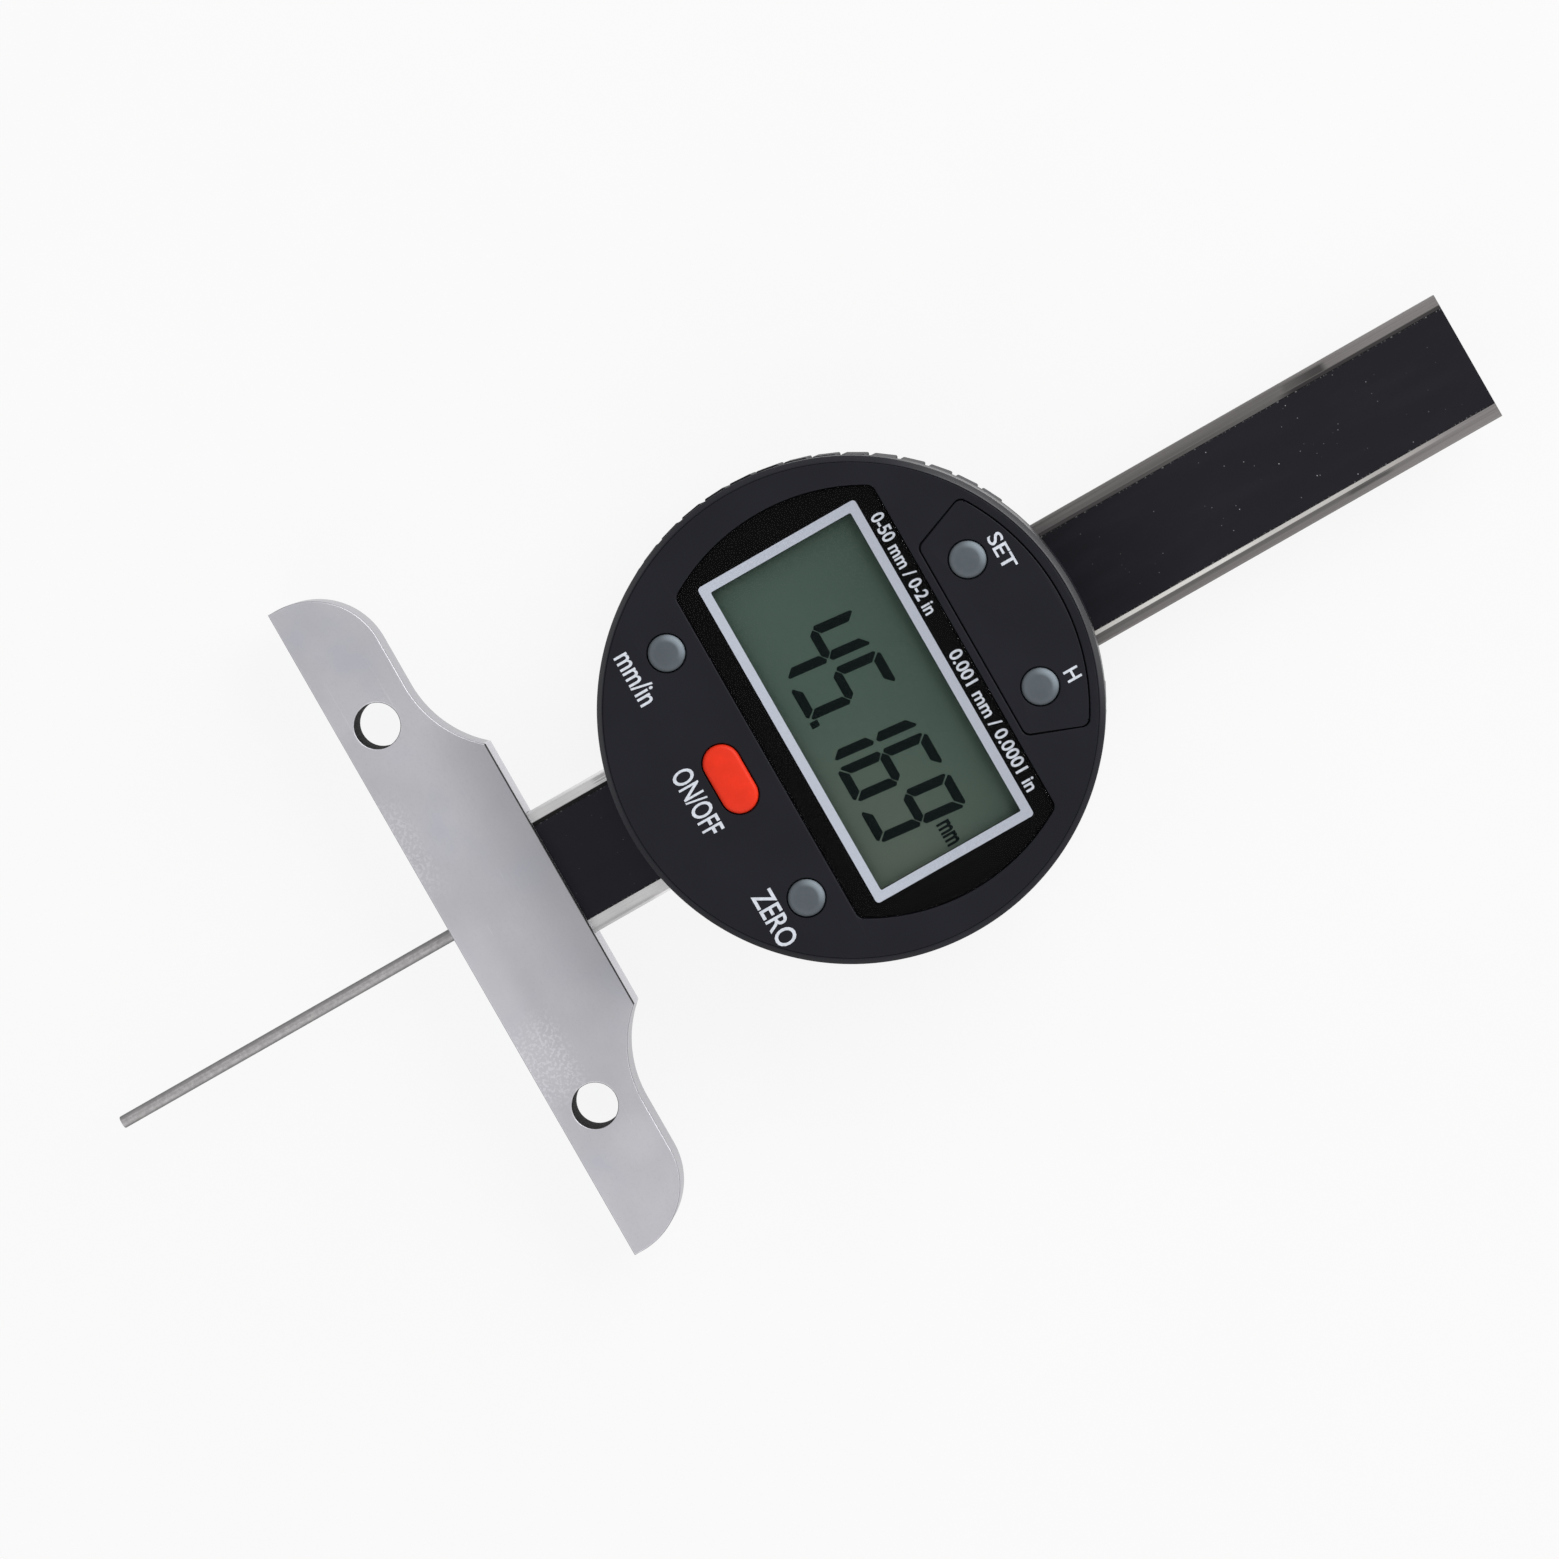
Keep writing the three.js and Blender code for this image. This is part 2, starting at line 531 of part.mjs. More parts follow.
// Base: rounded ends, a level shoulder and a hollow neck that rises to the land under the beam
function baseOutline() {
  const endX = BASE_LENGTH / 2;
  const neckX = endX - BASE_END_RADIUS - BASE_SHOULDER_LENGTH;
  const neckSweep = Math.acos(1 - (BASE_HEIGHT - BASE_SHOULDER_HEIGHT) / BASE_NECK_RADIUS);
  const right = [
    new THREE.Vector2(endX, 0),
    ...arc(endX - BASE_END_RADIUS, BASE_SHOULDER_HEIGHT - BASE_END_RADIUS, BASE_END_RADIUS, 0, Math.PI / 2),
    ...arc(
      neckX,
      BASE_SHOULDER_HEIGHT + BASE_NECK_RADIUS,
      BASE_NECK_RADIUS,
      -Math.PI / 2,
      -Math.PI / 2 - neckSweep,
    ),
  ];
  const left = right.map((point) => new THREE.Vector2(-point.x, point.y)).reverse();
  return [...right, ...left];
}

const baseScrewHoles = () => BASE_SCREW_PLACES.map((place) => screwHole(
  place, BASE_SCREW_LEVEL, BASE_SCREW_DIAMETER, BASE_SCREW_HEAD_DIAMETER, BASE_SCREW_LENGTH));

function baseGeometry() {
  const holes = mirroredPlaces(BASE_LENGTH / 2 - FIXING_HOLE_INSET, FIXING_HOLE_HEIGHT)
    .map(([x, y]) => circle(x, y, FIXING_HOLE_DIAMETER / 2));
  const body = plate(baseOutline(), BASE_BACK, BASE_FRONT, { holes, chamfer: BASE_EDGE_CHAMFER });
  const slotX = BEAM_WIDTH / 2 + SEAT_CLEARANCE;
  const slot = block(
    [-slotX, BEAM_SEAT_HEIGHT, BEAM_BACK - SEAT_CLEARANCE],
    [slotX, BASE_HEIGHT + CUT_OVERRUN, SEAT_CLEARANCE],
  );
  const bore = bar(
    circle(0, ROD_LEVEL, ROD_DIAMETER / 2 + ROD_BORE_CLEARANCE),
    -CUT_OVERRUN,
    BEAM_SEAT_HEIGHT + CUT_OVERRUN,
  );
  return cut(body, slot, bore, ...baseScrewHoles());
}

// Beam: a chamfered flat bar with a front pocket for the scale and a rear groove for the rod
function beamGeometry() {
  const side = BEAM_WIDTH / 2;
  const pocket = SCALE_POCKET_WIDTH / 2;
  const chamfer = BEAM_EDGE_CHAMFER;
  const section = [
    [-side, BEAM_BACK + chamfer],
    [-side + chamfer, BEAM_BACK],
    [side - chamfer, BEAM_BACK],
    [side, BEAM_BACK + chamfer],
    [side, -chamfer],
    [side - chamfer, 0],
    [pocket, 0],
    [pocket, -SCALE_POCKET_DEPTH],
    [-pocket, -SCALE_POCKET_DEPTH],
    [-pocket, 0],
    [-side + chamfer, 0],
    [-side, -chamfer],
  ].map(([x, z]) => new THREE.Vector2(x, z));
  const groove = block(
    [-ROD_GROOVE_WIDTH / 2, BEAM_SEAT_HEIGHT - CUT_OVERRUN, BEAM_BACK - CUT_OVERRUN],
    [ROD_GROOVE_WIDTH / 2, GROOVE_END, BEAM_BACK + ROD_GROOVE_DEPTH],
  );
  return cut(bar(section, BEAM_SEAT_HEIGHT, BEAM_TOP), groove, ...baseScrewHoles());
}

function scaleStrip(level, thickness) {
  const side = SCALE_POCKET_WIDTH / 2 - SCALE_SIDE_CLEARANCE;
  return block([-side, BEAM_SEAT_HEIGHT, level], [side, BEAM_TOP, level + thickness]);
}

// Slider frame: two rails and a roof round the beam, with a stepped window for the reader board
function sliderFrameGeometry() {
  const side = SLIDER_WIDTH / 2;
  const end = SLIDER_LENGTH / 2;
  const section = [
    [-side, REAR_PLATE_FRONT],
    [RAIL_LEFT, REAR_PLATE_FRONT],
    [RAIL_LEFT, SLIDER_ROOF_GAP],
    [RAIL_RIGHT, SLIDER_ROOF_GAP],
    [RAIL_RIGHT, REAR_PLATE_FRONT],
    [side, REAR_PLATE_FRONT],
    [side, SLIDER_FRONT - SLIDER_EDGE_CHAMFER],
    [side - SLIDER_EDGE_CHAMFER, SLIDER_FRONT],
    [-side + SLIDER_EDGE_CHAMFER, SLIDER_FRONT],
    [-side, SLIDER_FRONT - SLIDER_EDGE_CHAMFER],
  ].map(([x, z]) => new THREE.Vector2(x, z));
  return cut(
    bar(section, -end, end),
    readerBoardGeometry(READER_CLEARANCE, CUT_OVERRUN),
    ...GIB_SCREW_YS.map((y) => gibScrewBore(y)),
    ...rearPlateScrewHoles(),
  );
}

const GIB_SCREW_YS = [-GIB_SCREW_SPACING / 2, GIB_SCREW_SPACING / 2];

function gibStripGeometry() {
  return block(
    [GIB_FACE, -GIB_LENGTH / 2, BEAM_BACK + GIB_INSET],
    [GIB_FACE + GIB_THICKNESS, GIB_LENGTH / 2, -GIB_INSET],
  );
}

function alongX(geometry, y) {
  return geometry.rotateY(Math.PI / 2).translate(0, y, BEAM_BACK / 2);
}

function gibScrewGeometry(y) {
  const side = SLIDER_WIDTH / 2;
  const body = cylinder([0, 0], GIB_SCREW_DIAMETER / 2, RAIL_RIGHT, side - SCREW_SINK);
  const slot = block(
    [-GIB_SCREW_DIAMETER, -GIB_SCREW_SLOT_WIDTH / 2, side - SCREW_SINK - GIB_SCREW_SLOT_DEPTH],
    [GIB_SCREW_DIAMETER, GIB_SCREW_SLOT_WIDTH / 2, side + CUT_OVERRUN],
  );
  return alongX(cut(body, slot), y);
}

function gibScrewBore(y) {
  const radius = GIB_SCREW_DIAMETER / 2 + SCREW_CLEARANCE;
  return alongX(cylinder([0, 0], radius, RAIL_RIGHT - CUT_OVERRUN, SLIDER_WIDTH / 2 + CUT_OVERRUN), y);
}

// Rear plate: closes the slider behind the beam and holds the rod's anchor in a pocket
const REAR_PLATE_SCREW_LEVEL = REAR_PLATE_BACK + SCREW_SINK;
const plateScrewHole = (place, length) => screwHole(
  place, REAR_PLATE_SCREW_LEVEL, REAR_PLATE_SCREW_DIAMETER, REAR_PLATE_SCREW_HEAD_DIAMETER, length);
const rearPlateScrewHoles = () => REAR_PLATE_SCREW_PLACES.map((place) =>
  plateScrewHole(place, REAR_PLATE_SCREW_LENGTH));
const sliderFixingHoles = () => SLIDER_FIXING_PLACES.map((place) =>
  smallScrewHole(place, SLIDER_FIXING_LEVEL, SLIDER_FIXING_SCREW_LENGTH));
const ANCHOR_PLACE = [0, ANCHOR_OFFSET];
const anchorScrewHole = () => plateScrewHole(ANCHOR_PLACE, ANCHOR_SCREW_LENGTH);

function rearPlateGeometry() {
  const side = SLIDER_WIDTH / 2;
  const end = SLIDER_LENGTH / 2;
  const outline = rectangle(-side, -end, side, end);
  const footX = ANCHOR_FOOT_WIDTH / 2 + ANCHOR_CLEARANCE;
  const footY = ANCHOR_FOOT_LENGTH / 2 + ANCHOR_CLEARANCE;
  return cut(
    plate(outline, REAR_PLATE_BACK, REAR_PLATE_FRONT),
    block(
      [-footX, ANCHOR_OFFSET - footY, REAR_PLATE_FRONT - ANCHOR_FOOT_THICKNESS],
      [footX, ANCHOR_OFFSET + footY, REAR_PLATE_FRONT + CUT_OVERRUN],
    ),
    ...rearPlateScrewHoles(),
    ...sliderFixingHoles(),
    anchorScrewHole(),
  );
}

function rodAnchorGeometry() {
  const footX = ANCHOR_FOOT_WIDTH / 2;
  const footY = ANCHOR_FOOT_LENGTH / 2;
  const tongueX = ANCHOR_TONGUE_WIDTH / 2;
  const footBack = REAR_PLATE_FRONT - ANCHOR_FOOT_THICKNESS;
  return cut(
    joined(
      block([-footX, ANCHOR_OFFSET - footY, footBack], [footX, ANCHOR_OFFSET + footY, REAR_PLATE_FRONT]),
      block([-tongueX, ROD_END, footBack], [tongueX, ANCHOR_END, ROD_LEVEL + ROD_DIAMETER / 2]),
    ),
    anchorScrewHole(),
  );
}

function probeRodGeometry() {
  const radius = ROD_DIAMETER / 2;
  const length = ROD_END + HEAD_CENTRE_AT_ZERO;
  const rod = turned([
    [0, 0],
    [radius, 0],
    [radius, length - ROD_TIP_CHAMFER],
    [radius - ROD_TIP_CHAMFER, length],
    [0, length],
  ]);
  return rod.rotateX(Math.PI / 2).translate(0, ROD_END, ROD_LEVEL);
}

// Reader board: a flanged board whose shoe reaches down to the scale
function readerBoardGeometry(clearance, overrun) {
  const shoeX = READER_SHOE_WIDTH / 2 + clearance;
  const shoeY = READER_SHOE_LENGTH / 2 + clearance;
  const shelf = SLIDER_ROOF_GAP + READER_SHOE_HEIGHT;
  const flangeX = shoeX + READER_FLANGE_WIDTH;
  const flangeY = shoeY + READER_FLANGE_WIDTH;
  return joined(
    block([-shoeX, -shoeY, SLIDER_ROOF_GAP - overrun], [shoeX, shoeY, shelf + JOIN_OVERLAP]),
    block([-flangeX, -flangeY, shelf], [flangeX, flangeY, SLIDER_FRONT + overrun]),
  );
}

function boardConnectorGeometry() {
  return block(
    [-CONNECTOR_LENGTH / 2, CONNECTOR_OFFSET - CONNECTOR_WIDTH / 2, SLIDER_FRONT],
    [CONNECTOR_LENGTH / 2, CONNECTOR_OFFSET + CONNECTOR_WIDTH / 2, BOARD_BACK],
  );
}

// Case ring: a turned wall with screw posts, slots for the beam and finger grips
const caseScrewHoles = () => BOSS_PLACES.map((place) =>
  smallScrewHole(place, CASE_SCREW_LEVEL, CASE_SCREW_LENGTH));

function gripLand(angle) {
  const from = angle - GRIP_LAND_ANGLE / 2;
  const to = angle + GRIP_LAND_ANGLE / 2;
  const root = CASE_RADIUS - GRIP_ROOT;
  const outline = [
    new THREE.Vector2(root * Math.cos(from), root * Math.sin(from)),
    ...arc(0, 0, CASE_RADIUS + GRIP_HEIGHT, from, to),
    new THREE.Vector2(root * Math.cos(to), root * Math.sin(to)),
  ];
  return plate(outline, CASE_BACK + GRIP_BACK_MARGIN, SEAM - GRIP_FRONT_MARGIN);
}

function caseRingGeometry() {
  const coverSeat = CASE_RADIUS - COVER_RIM;
  const wall = turned([
    [CASE_INNER_RADIUS, COVER_FRONT],
    [coverSeat, COVER_FRONT],
    [coverSeat, CASE_BACK],
    [CASE_RADIUS - CASE_BACK_CHAMFER, CASE_BACK],
    [CASE_RADIUS, CASE_BACK + CASE_BACK_CHAMFER],
    [CASE_RADIUS, SEAM - BEZEL_SEAM_CHAMFER],
    [CASE_RADIUS - BEZEL_SEAM_CHAMFER, SEAM],
    [CASE_INNER_RADIUS, SEAM],
    [CASE_INNER_RADIUS, COVER_FRONT],
  ]);
  const posts = BOSS_PLACES.map((place) => cylinder(place, BOSS_RADIUS, COVER_FRONT, SEAM));
  const firstGrip = (-(GRIP_COUNT - 1) * GRIP_PITCH) / 2;
  const grips = [0, Math.PI].flatMap((middle) =>
    Array.from({ length: GRIP_COUNT }, (_, i) => gripLand(middle + firstGrip + i * GRIP_PITCH)));
  const slotX = BEAM_WIDTH / 2 + CASE_SLOT_CLEARANCE;
  const slotY = CASE_RADIUS + CUT_OVERRUN;
  const slot = block(
    [-slotX, -slotY, BEAM_BACK - CASE_SLOT_CLEARANCE],
    [slotX, slotY, CASE_SLOT_CLEARANCE],
  );
  return cut(joined(wall, ...posts, ...grips), slot, ...caseScrewHoles());
}

// Rear cover: a disc with stand-offs for the slider and a round battery pocket
const BATTERY_PLACE = [BATTERY_OFFSET, 0];

function rearCoverGeometry() {
  const radius = CASE_RADIUS - COVER_RIM - COVER_CLEARANCE;
  const disc = turned([
    [0, COVER_BACK],
    [radius - COVER_CHAMFER, COVER_BACK],
    [radius, COVER_BACK + COVER_CHAMFER],
    [radius, COVER_FRONT],
    [0, COVER_FRONT],
  ]);
  const inside = COVER_FRONT - JOIN_OVERLAP;
  const pocket = cylinder(BATTERY_PLACE, BATTERY_POCKET_RADIUS, inside, BATTERY_FRONT);
  const standoffs = SLIDER_FIXING_PLACES.map((place) =>
    cylinder(place, STANDOFF_RADIUS, inside, REAR_PLATE_BACK));
  const capBore = BATTERY_POCKET_BORE + CAP_OVERLAP + CAP_CLEARANCE;
  const notchX = CONTACT_WIDTH / 2 + BATTERY_CLEARANCE;
  return cut(
    joined(disc, pocket, ...standoffs),
    cylinder(BATTERY_PLACE, BATTERY_POCKET_BORE, inside - CUT_OVERRUN, BATTERY_FRONT + CUT_OVERRUN),
    cylinder(BATTERY_PLACE, capBore, COVER_BACK - CUT_OVERRUN, COVER_FRONT),
    block(
      [BATTERY_OFFSET - notchX, 0, BATTERY_BACK],
      [BATTERY_OFFSET + notchX, BATTERY_POCKET_RADIUS + CUT_OVERRUN, BATTERY_FRONT + CUT_OVERRUN],
    ),
    ...caseScrewHoles(),
    ...sliderFixingHoles(),
  );
}

function batteryGeometry() {
  const [x, y] = BATTERY_PLACE;
  return cylinder([x, y], BATTERY_DIAMETER / 2, BATTERY_BACK, BATTERY_FRONT, BATTERY_EDGE_CHAMFER);
}

function batteryCapGeometry() {
  const radius = BATTERY_POCKET_BORE + CAP_OVERLAP;
  const back = COVER_BACK + CAP_SINK;
  const [x, y] = BATTERY_PLACE;
  const reach = radius * CAP_SLOT_SHARE;
  return cut(
    cylinder([x, y], radius, back, COVER_FRONT),
    block(
      [x - reach, y - CAP_SLOT_WIDTH / 2, back - CUT_OVERRUN],
      [x + reach, y + CAP_SLOT_WIDTH / 2, back + CAP_SLOT_DEPTH],
    ),
  );
}

// Battery contacts: bent strips that reach from the cell up to the main board
function topContactGeometry() {
  const low = BATTERY_FRONT + CONTACT_GAP;
  const end = BATTERY_OFFSET + TOP_CONTACT_LENGTH / 2;
  const section = [
    [BATTERY_OFFSET - TOP_CONTACT_LENGTH / 2, low],
    [end, low],
    [end, BOARD_BACK],
    [end - CONTACT_THICKNESS, BOARD_BACK],
    [end - CONTACT_THICKNESS, low + CONTACT_THICKNESS],
    [BATTERY_OFFSET - TOP_CONTACT_LENGTH / 2, low + CONTACT_THICKNESS],
  ].map(([x, z]) => new THREE.Vector2(x, z));
  return bar(section, -CONTACT_WIDTH / 2, CONTACT_WIDTH / 2);
}

function sideContactGeometry() {
  const near = BATTERY_DIAMETER / 2 + CONTACT_GAP;
  return block(
    [BATTERY_OFFSET - CONTACT_WIDTH / 2, near, BATTERY_BACK + BATTERY_EDGE_CHAMFER],
    [BATTERY_OFFSET + CONTACT_WIDTH / 2, near + CONTACT_THICKNESS, BOARD_BACK],
  );
}

// Main board: a disc in the bezel's rebate, notched round the screw bosses
function mainBoardGeometry() {
  const radius = BEZEL_RADIUS - BEZEL_WALL + BOARD_REBATE_WIDTH - BOARD_CLEARANCE;
  const notch = BOSS_RADIUS + BOARD_NOTCH_CLEARANCE;
  const notches = BOSS_PLACES.map((place) =>
    cylinder(place, notch, BOARD_BACK - CUT_OVERRUN, BOARD_FRONT + CUT_OVERRUN));
  return cut(cylinder([0, 0], radius, BOARD_BACK, BOARD_FRONT), ...notches);
}

// Display: holder with its conductive rubber strips, reflector, glass and window
const ZEBRA_CENTRES = [LCD_LOW + ZEBRA_INSET + ZEBRA_WIDTH / 2, LCD_HIGH - ZEBRA_INSET - ZEBRA_WIDTH / 2];
const REFLECTOR_HALF = LCD_HEIGHT / 2 - ZEBRA_INSET - ZEBRA_WIDTH - ZEBRA_CLEARANCE - HOLDER_BAR;

function lcdHolderGeometry() {
  const side = LCD_WIDTH / 2 + HOLDER_BORDER;
  const zebraX = ZEBRA_LENGTH / 2 + ZEBRA_CLEARANCE;
  const zebraY = ZEBRA_WIDTH / 2 + ZEBRA_CLEARANCE;
  const slots = ZEBRA_CENTRES.map((y) => rectangle(-zebraX, y - zebraY, zebraX, y + zebraY));
  const middle = rectangle(-zebraX, WINDOW_CENTRE - REFLECTOR_HALF, zebraX, WINDOW_CENTRE + REFLECTOR_HALF);
  return plate(
    rectangle(-side, LCD_LOW - HOLDER_BORDER, side, LCD_HIGH + HOLDER_BORDER),
    BOARD_FRONT,
    LCD_BACK,
    { holes: [...slots, middle] },
  );
}

function zebraStripGeometry(y) {
  return block(
    [-ZEBRA_LENGTH / 2, y - ZEBRA_WIDTH / 2, BOARD_FRONT],
    [ZEBRA_LENGTH / 2, y + ZEBRA_WIDTH / 2, LCD_BACK],
  );
}

function lcdReflectorGeometry() {
  const x = ZEBRA_LENGTH / 2 + ZEBRA_CLEARANCE - REFLECTOR_CLEARANCE;
  const y = REFLECTOR_HALF - REFLECTOR_CLEARANCE;
  const front = LCD_BACK - REFLECTOR_GAP;
  return block([-x, WINDOW_CENTRE - y, front - REFLECTOR_THICKNESS], [x, WINDOW_CENTRE + y, front]);
}

function lcdGlassGeometry() {
  return block([-LCD_WIDTH / 2, LCD_LOW, LCD_BACK], [LCD_WIDTH / 2, LCD_HIGH, LCD_FRONT]);
}

// Level top and bottom, ends that are arcs about the window's own centre, small corner fillets.
function windowOutline(grow) {
  const radius = WINDOW_END_RADIUS + grow;
  const half = WINDOW_HEIGHT / 2 + grow;
  const turn = Math.asin(half / radius);
  const fillet = WINDOW_CORNER_RADIUS;
  const end = (from, to) => {
    const points = arc(0, WINDOW_CENTRE, radius, from, to);
    const [first, last] = [points[0], points.at(-1)];
    return [corner(first.x, first.y, fillet), ...points.slice(1, -1), corner(last.x, last.y, fillet)];
  };
  return filleted([...end(-turn, turn), ...end(Math.PI - turn, Math.PI + turn)]);
}

// Key panel: straight inner edge, slanted ends and an outer arc about the head's centre
function keyPanelOutline(grow) {
  const radius = KEY_PANEL_OUTER_RADIUS + grow;
  const outerX = KEY_PANEL_OUTER_WIDTH / 2 + grow;
  const innerX = KEY_PANEL_INNER_WIDTH / 2 + grow;
  const from = Math.acos(outerX / radius);
  const points = arc(0, 0, radius, from, Math.PI - from);
  const [first, last] = [points[0], points.at(-1)];
  const fillet = KEY_PANEL_CORNER_RADIUS;
  return filleted([
    corner(first.x, first.y, fillet),
    ...points.slice(1, -1),
    corner(last.x, last.y, fillet),
    corner(-innerX, KEY_PANEL_BASELINE - grow, fillet),
    corner(innerX, KEY_PANEL_BASELINE - grow, fillet),
  ]);
}

const KEY_HOLE_RADIUS = KEY_DIAMETER / 2 + KEY_CLEARANCE;

function keyPanelGeometry() {
  const holes = UPPER_KEYS.map(([x, y]) => circle(x, y, KEY_HOLE_RADIUS));
  return plate(keyPanelOutline(0), KEY_PANEL_BACK, HEAD_FRONT, { holes });
}

// Bezel: a turned cup with the window's stepped seat, the key panel's pocket, key bores and screw bosses
function bezelGeometry() {
  const radius = BEZEL_RADIUS;
  const inner = radius - BEZEL_WALL;
  const rebate = inner + BOARD_REBATE_WIDTH;
  const cup = turned([
    [0, BEZEL_PLATE_BACK],
    [inner, BEZEL_PLATE_BACK],
    [inner, BOARD_FRONT],
    [rebate, BOARD_FRONT],
    [rebate, SEAM],
    [radius - BEZEL_SEAM_CHAMFER, SEAM],
    [radius, SEAM + BEZEL_SEAM_CHAMFER],
    [radius, HEAD_FRONT - BEZEL_CHAMFER],
    [radius - BEZEL_CHAMFER, HEAD_FRONT],
    [0, HEAD_FRONT],
  ]);
  const inside = BEZEL_PLATE_BACK + JOIN_OVERLAP;
  const bosses = BOSS_PLACES.map((place) => cylinder(place, BOSS_RADIUS, SEAM, inside));
  const openingX = DISPLAY_OPENING_WIDTH / 2;
  const openingY = DISPLAY_OPENING_HEIGHT / 2;
  const opening = rectangle(-openingX, WINDOW_CENTRE - openingY, openingX, WINDOW_CENTRE + openingY);
  const front = HEAD_FRONT + CUT_OVERRUN;
  const through = BEZEL_PLATE_BACK - CUT_OVERRUN;
  const powerBore = obround(
    POWER_KEY,
    POWER_KEY_LENGTH + 2 * KEY_CLEARANCE,
    POWER_KEY_WIDTH + 2 * KEY_CLEARANCE,
  );
  return cut(
    joined(cup, ...bosses),
    plate(windowOutline(WINDOW_CLEARANCE), WINDOW_BACK, front),
    plate(opening, through, front),
    plate(keyPanelOutline(KEY_PANEL_CLEARANCE), KEY_PANEL_BACK, front),
    ...[...UPPER_KEYS, ...LOWER_KEYS].map((place) => cylinder(place, KEY_HOLE_RADIUS, through, front)),
    plate(powerBore, through, front),
    ...caseScrewHoles(),
  );
}

// Keys: a crowned cap, a flange that the bezel keeps in, and a stem over the rubber dome
function roundKeyGeometry() {
  const radius = KEY_DIAMETER / 2;
  const edgeLevel = KEY_TOP - KEY_CROWN - KEY_EDGE_RADIUS;
  const edge = arc(radius - KEY_EDGE_RADIUS, edgeLevel, KEY_EDGE_RADIUS, 0, Math.PI / 2);
  return turned([
    [0, KEY_STEM_LOW],
    [KEY_STEM_DIAMETER / 2, KEY_STEM_LOW],
    [KEY_STEM_DIAMETER / 2, KEY_FLANGE_LOW],
    [radius + KEY_FLANGE_WIDTH, KEY_FLANGE_LOW],
    [radius + KEY_FLANGE_WIDTH, KEY_FLANGE_TOP],
    [radius, KEY_FLANGE_TOP],
    ...edge.map((point) => [point.x, point.y]),
    [0, KEY_TOP],
  ]);
}

function powerKeyGeometry() {
  const edge = KEY_EDGE_RADIUS;
  const flange = 2 * KEY_FLANGE_WIDTH;
  const cap = obround([0, 0], POWER_KEY_LENGTH, POWER_KEY_WIDTH);
  const skirt = obround([0, 0], POWER_KEY_LENGTH + flange, POWER_KEY_WIDTH + flange);
  return joined(
    plate(cap, KEY_FLANGE_LOW, KEY_TOP, { chamfer: edge }),
    plate(skirt, KEY_FLANGE_LOW, KEY_FLANGE_TOP),
    cylinder([0, 0], KEY_STEM_DIAMETER / 2, KEY_STEM_LOW, KEY_FLANGE_TOP),
  );
}

// Rubber pads: a sheet on the main board with a dome under each key, trimmed to the bezel's wall and bosses
function padTrims() {
  const low = BOARD_FRONT - CUT_OVERRUN;
  const high = PAD_TOP + CUT_OVERRUN;
  const wall = BEZEL_RADIUS - BEZEL_WALL - PAD_WALL_GAP;
  const ring = plate(circle(0, 0, 2 * BEZEL_RADIUS), low, high, { holes: [circle(0, 0, wall)] });
  return [ring, ...BOSS_PLACES.map((place) => cylinder(place, BOSS_RADIUS + PAD_WALL_GAP, low, high))];
}

function padGeometry(keys) {
  const xs = keys.map(([x]) => x);
  const ys = keys.map(([, y]) => y);
  const outline = rectangle(
    Math.min(...xs) - PAD_MARGIN,
    Math.min(...ys) - PAD_MARGIN,
    Math.max(...xs) + PAD_MARGIN,
    Math.max(...ys) + PAD_MARGIN,
    PAD_CORNER_RADIUS,
  );
  const sheetTop = BOARD_FRONT + PAD_THICKNESS;
  const domes = keys.map((place) => cylinder(place, PAD_DOME_RADIUS, BOARD_FRONT, PAD_TOP));
  return cut(joined(plate(outline, BOARD_FRONT, sheetTop), ...domes), ...padTrims());
}

// Finishes
const finish = (color, roughness, metalness) =>
  new THREE.MeshStandardMaterial({ color, roughness, metalness });
const groundSteel = () => finish(0xb7b7bb, 0.38, 1);
const beamSteel = () => finish(0xa8a6a3, 0.42, 1);
const screwSteel = () => finish(0x8f8f92, 0.35, 1);
const brass = () => finish(0xb08d4a, 0.4, 1);
const blackFilm = () => finish(0x161517, 0.5, 0);
const housing = () => finish(0x2a2a30, 0.5, 0);
const greyKey = () => finish(0x5f666c, 0.5, 0);
const circuitBoard = () => finish(0x1e5a38, 0.6, 0);
const rubber = () => finish(0x6a6c70, 0.85, 0);

function piece(parent, name, geometry, material) {
  geometry.computeVertexNormals();
  const mesh = new THREE.Mesh(geometry, material);
  mesh.name = name;
  parent.add(mesh);
  return mesh;
}

function screwsAt(parent, name, places, level, geometry) {
  places.forEach(([x, y], i) => {
    piece(parent, name + "_" + (i + 1), geometry(), screwSteel()).position.set(x, y, level);
  });
}

// Assembly: the base and beam stay still, the head slides along Y
const gauge = new THREE.Group();
const frame = new THREE.Group();
const head = new THREE.Group();
head.position.y = HEAD_CENTRE;
gauge.add(frame, head);

const boardLevel = -SCALE_POCKET_DEPTH;
const coverLevel = boardLevel + SCALE_BOARD_THICKNESS;
piece(frame, "base", baseGeometry(), groundSteel());
screwsAt(frame, "base_screw", BASE_SCREW_PLACES, BASE_SCREW_LEVEL, () =>
  countersunkScrew(BASE_SCREW_DIAMETER, BASE_SCREW_HEAD_DIAMETER, BASE_SCREW_LENGTH));
piece(frame, "beam", beamGeometry(), beamSteel());
piece(frame, "scale_board", scaleStrip(boardLevel, SCALE_BOARD_THICKNESS), circuitBoard());
piece(frame, "scale_cover", scaleStrip(coverLevel, SCALE_COVER_THICKNESS), blackFilm());

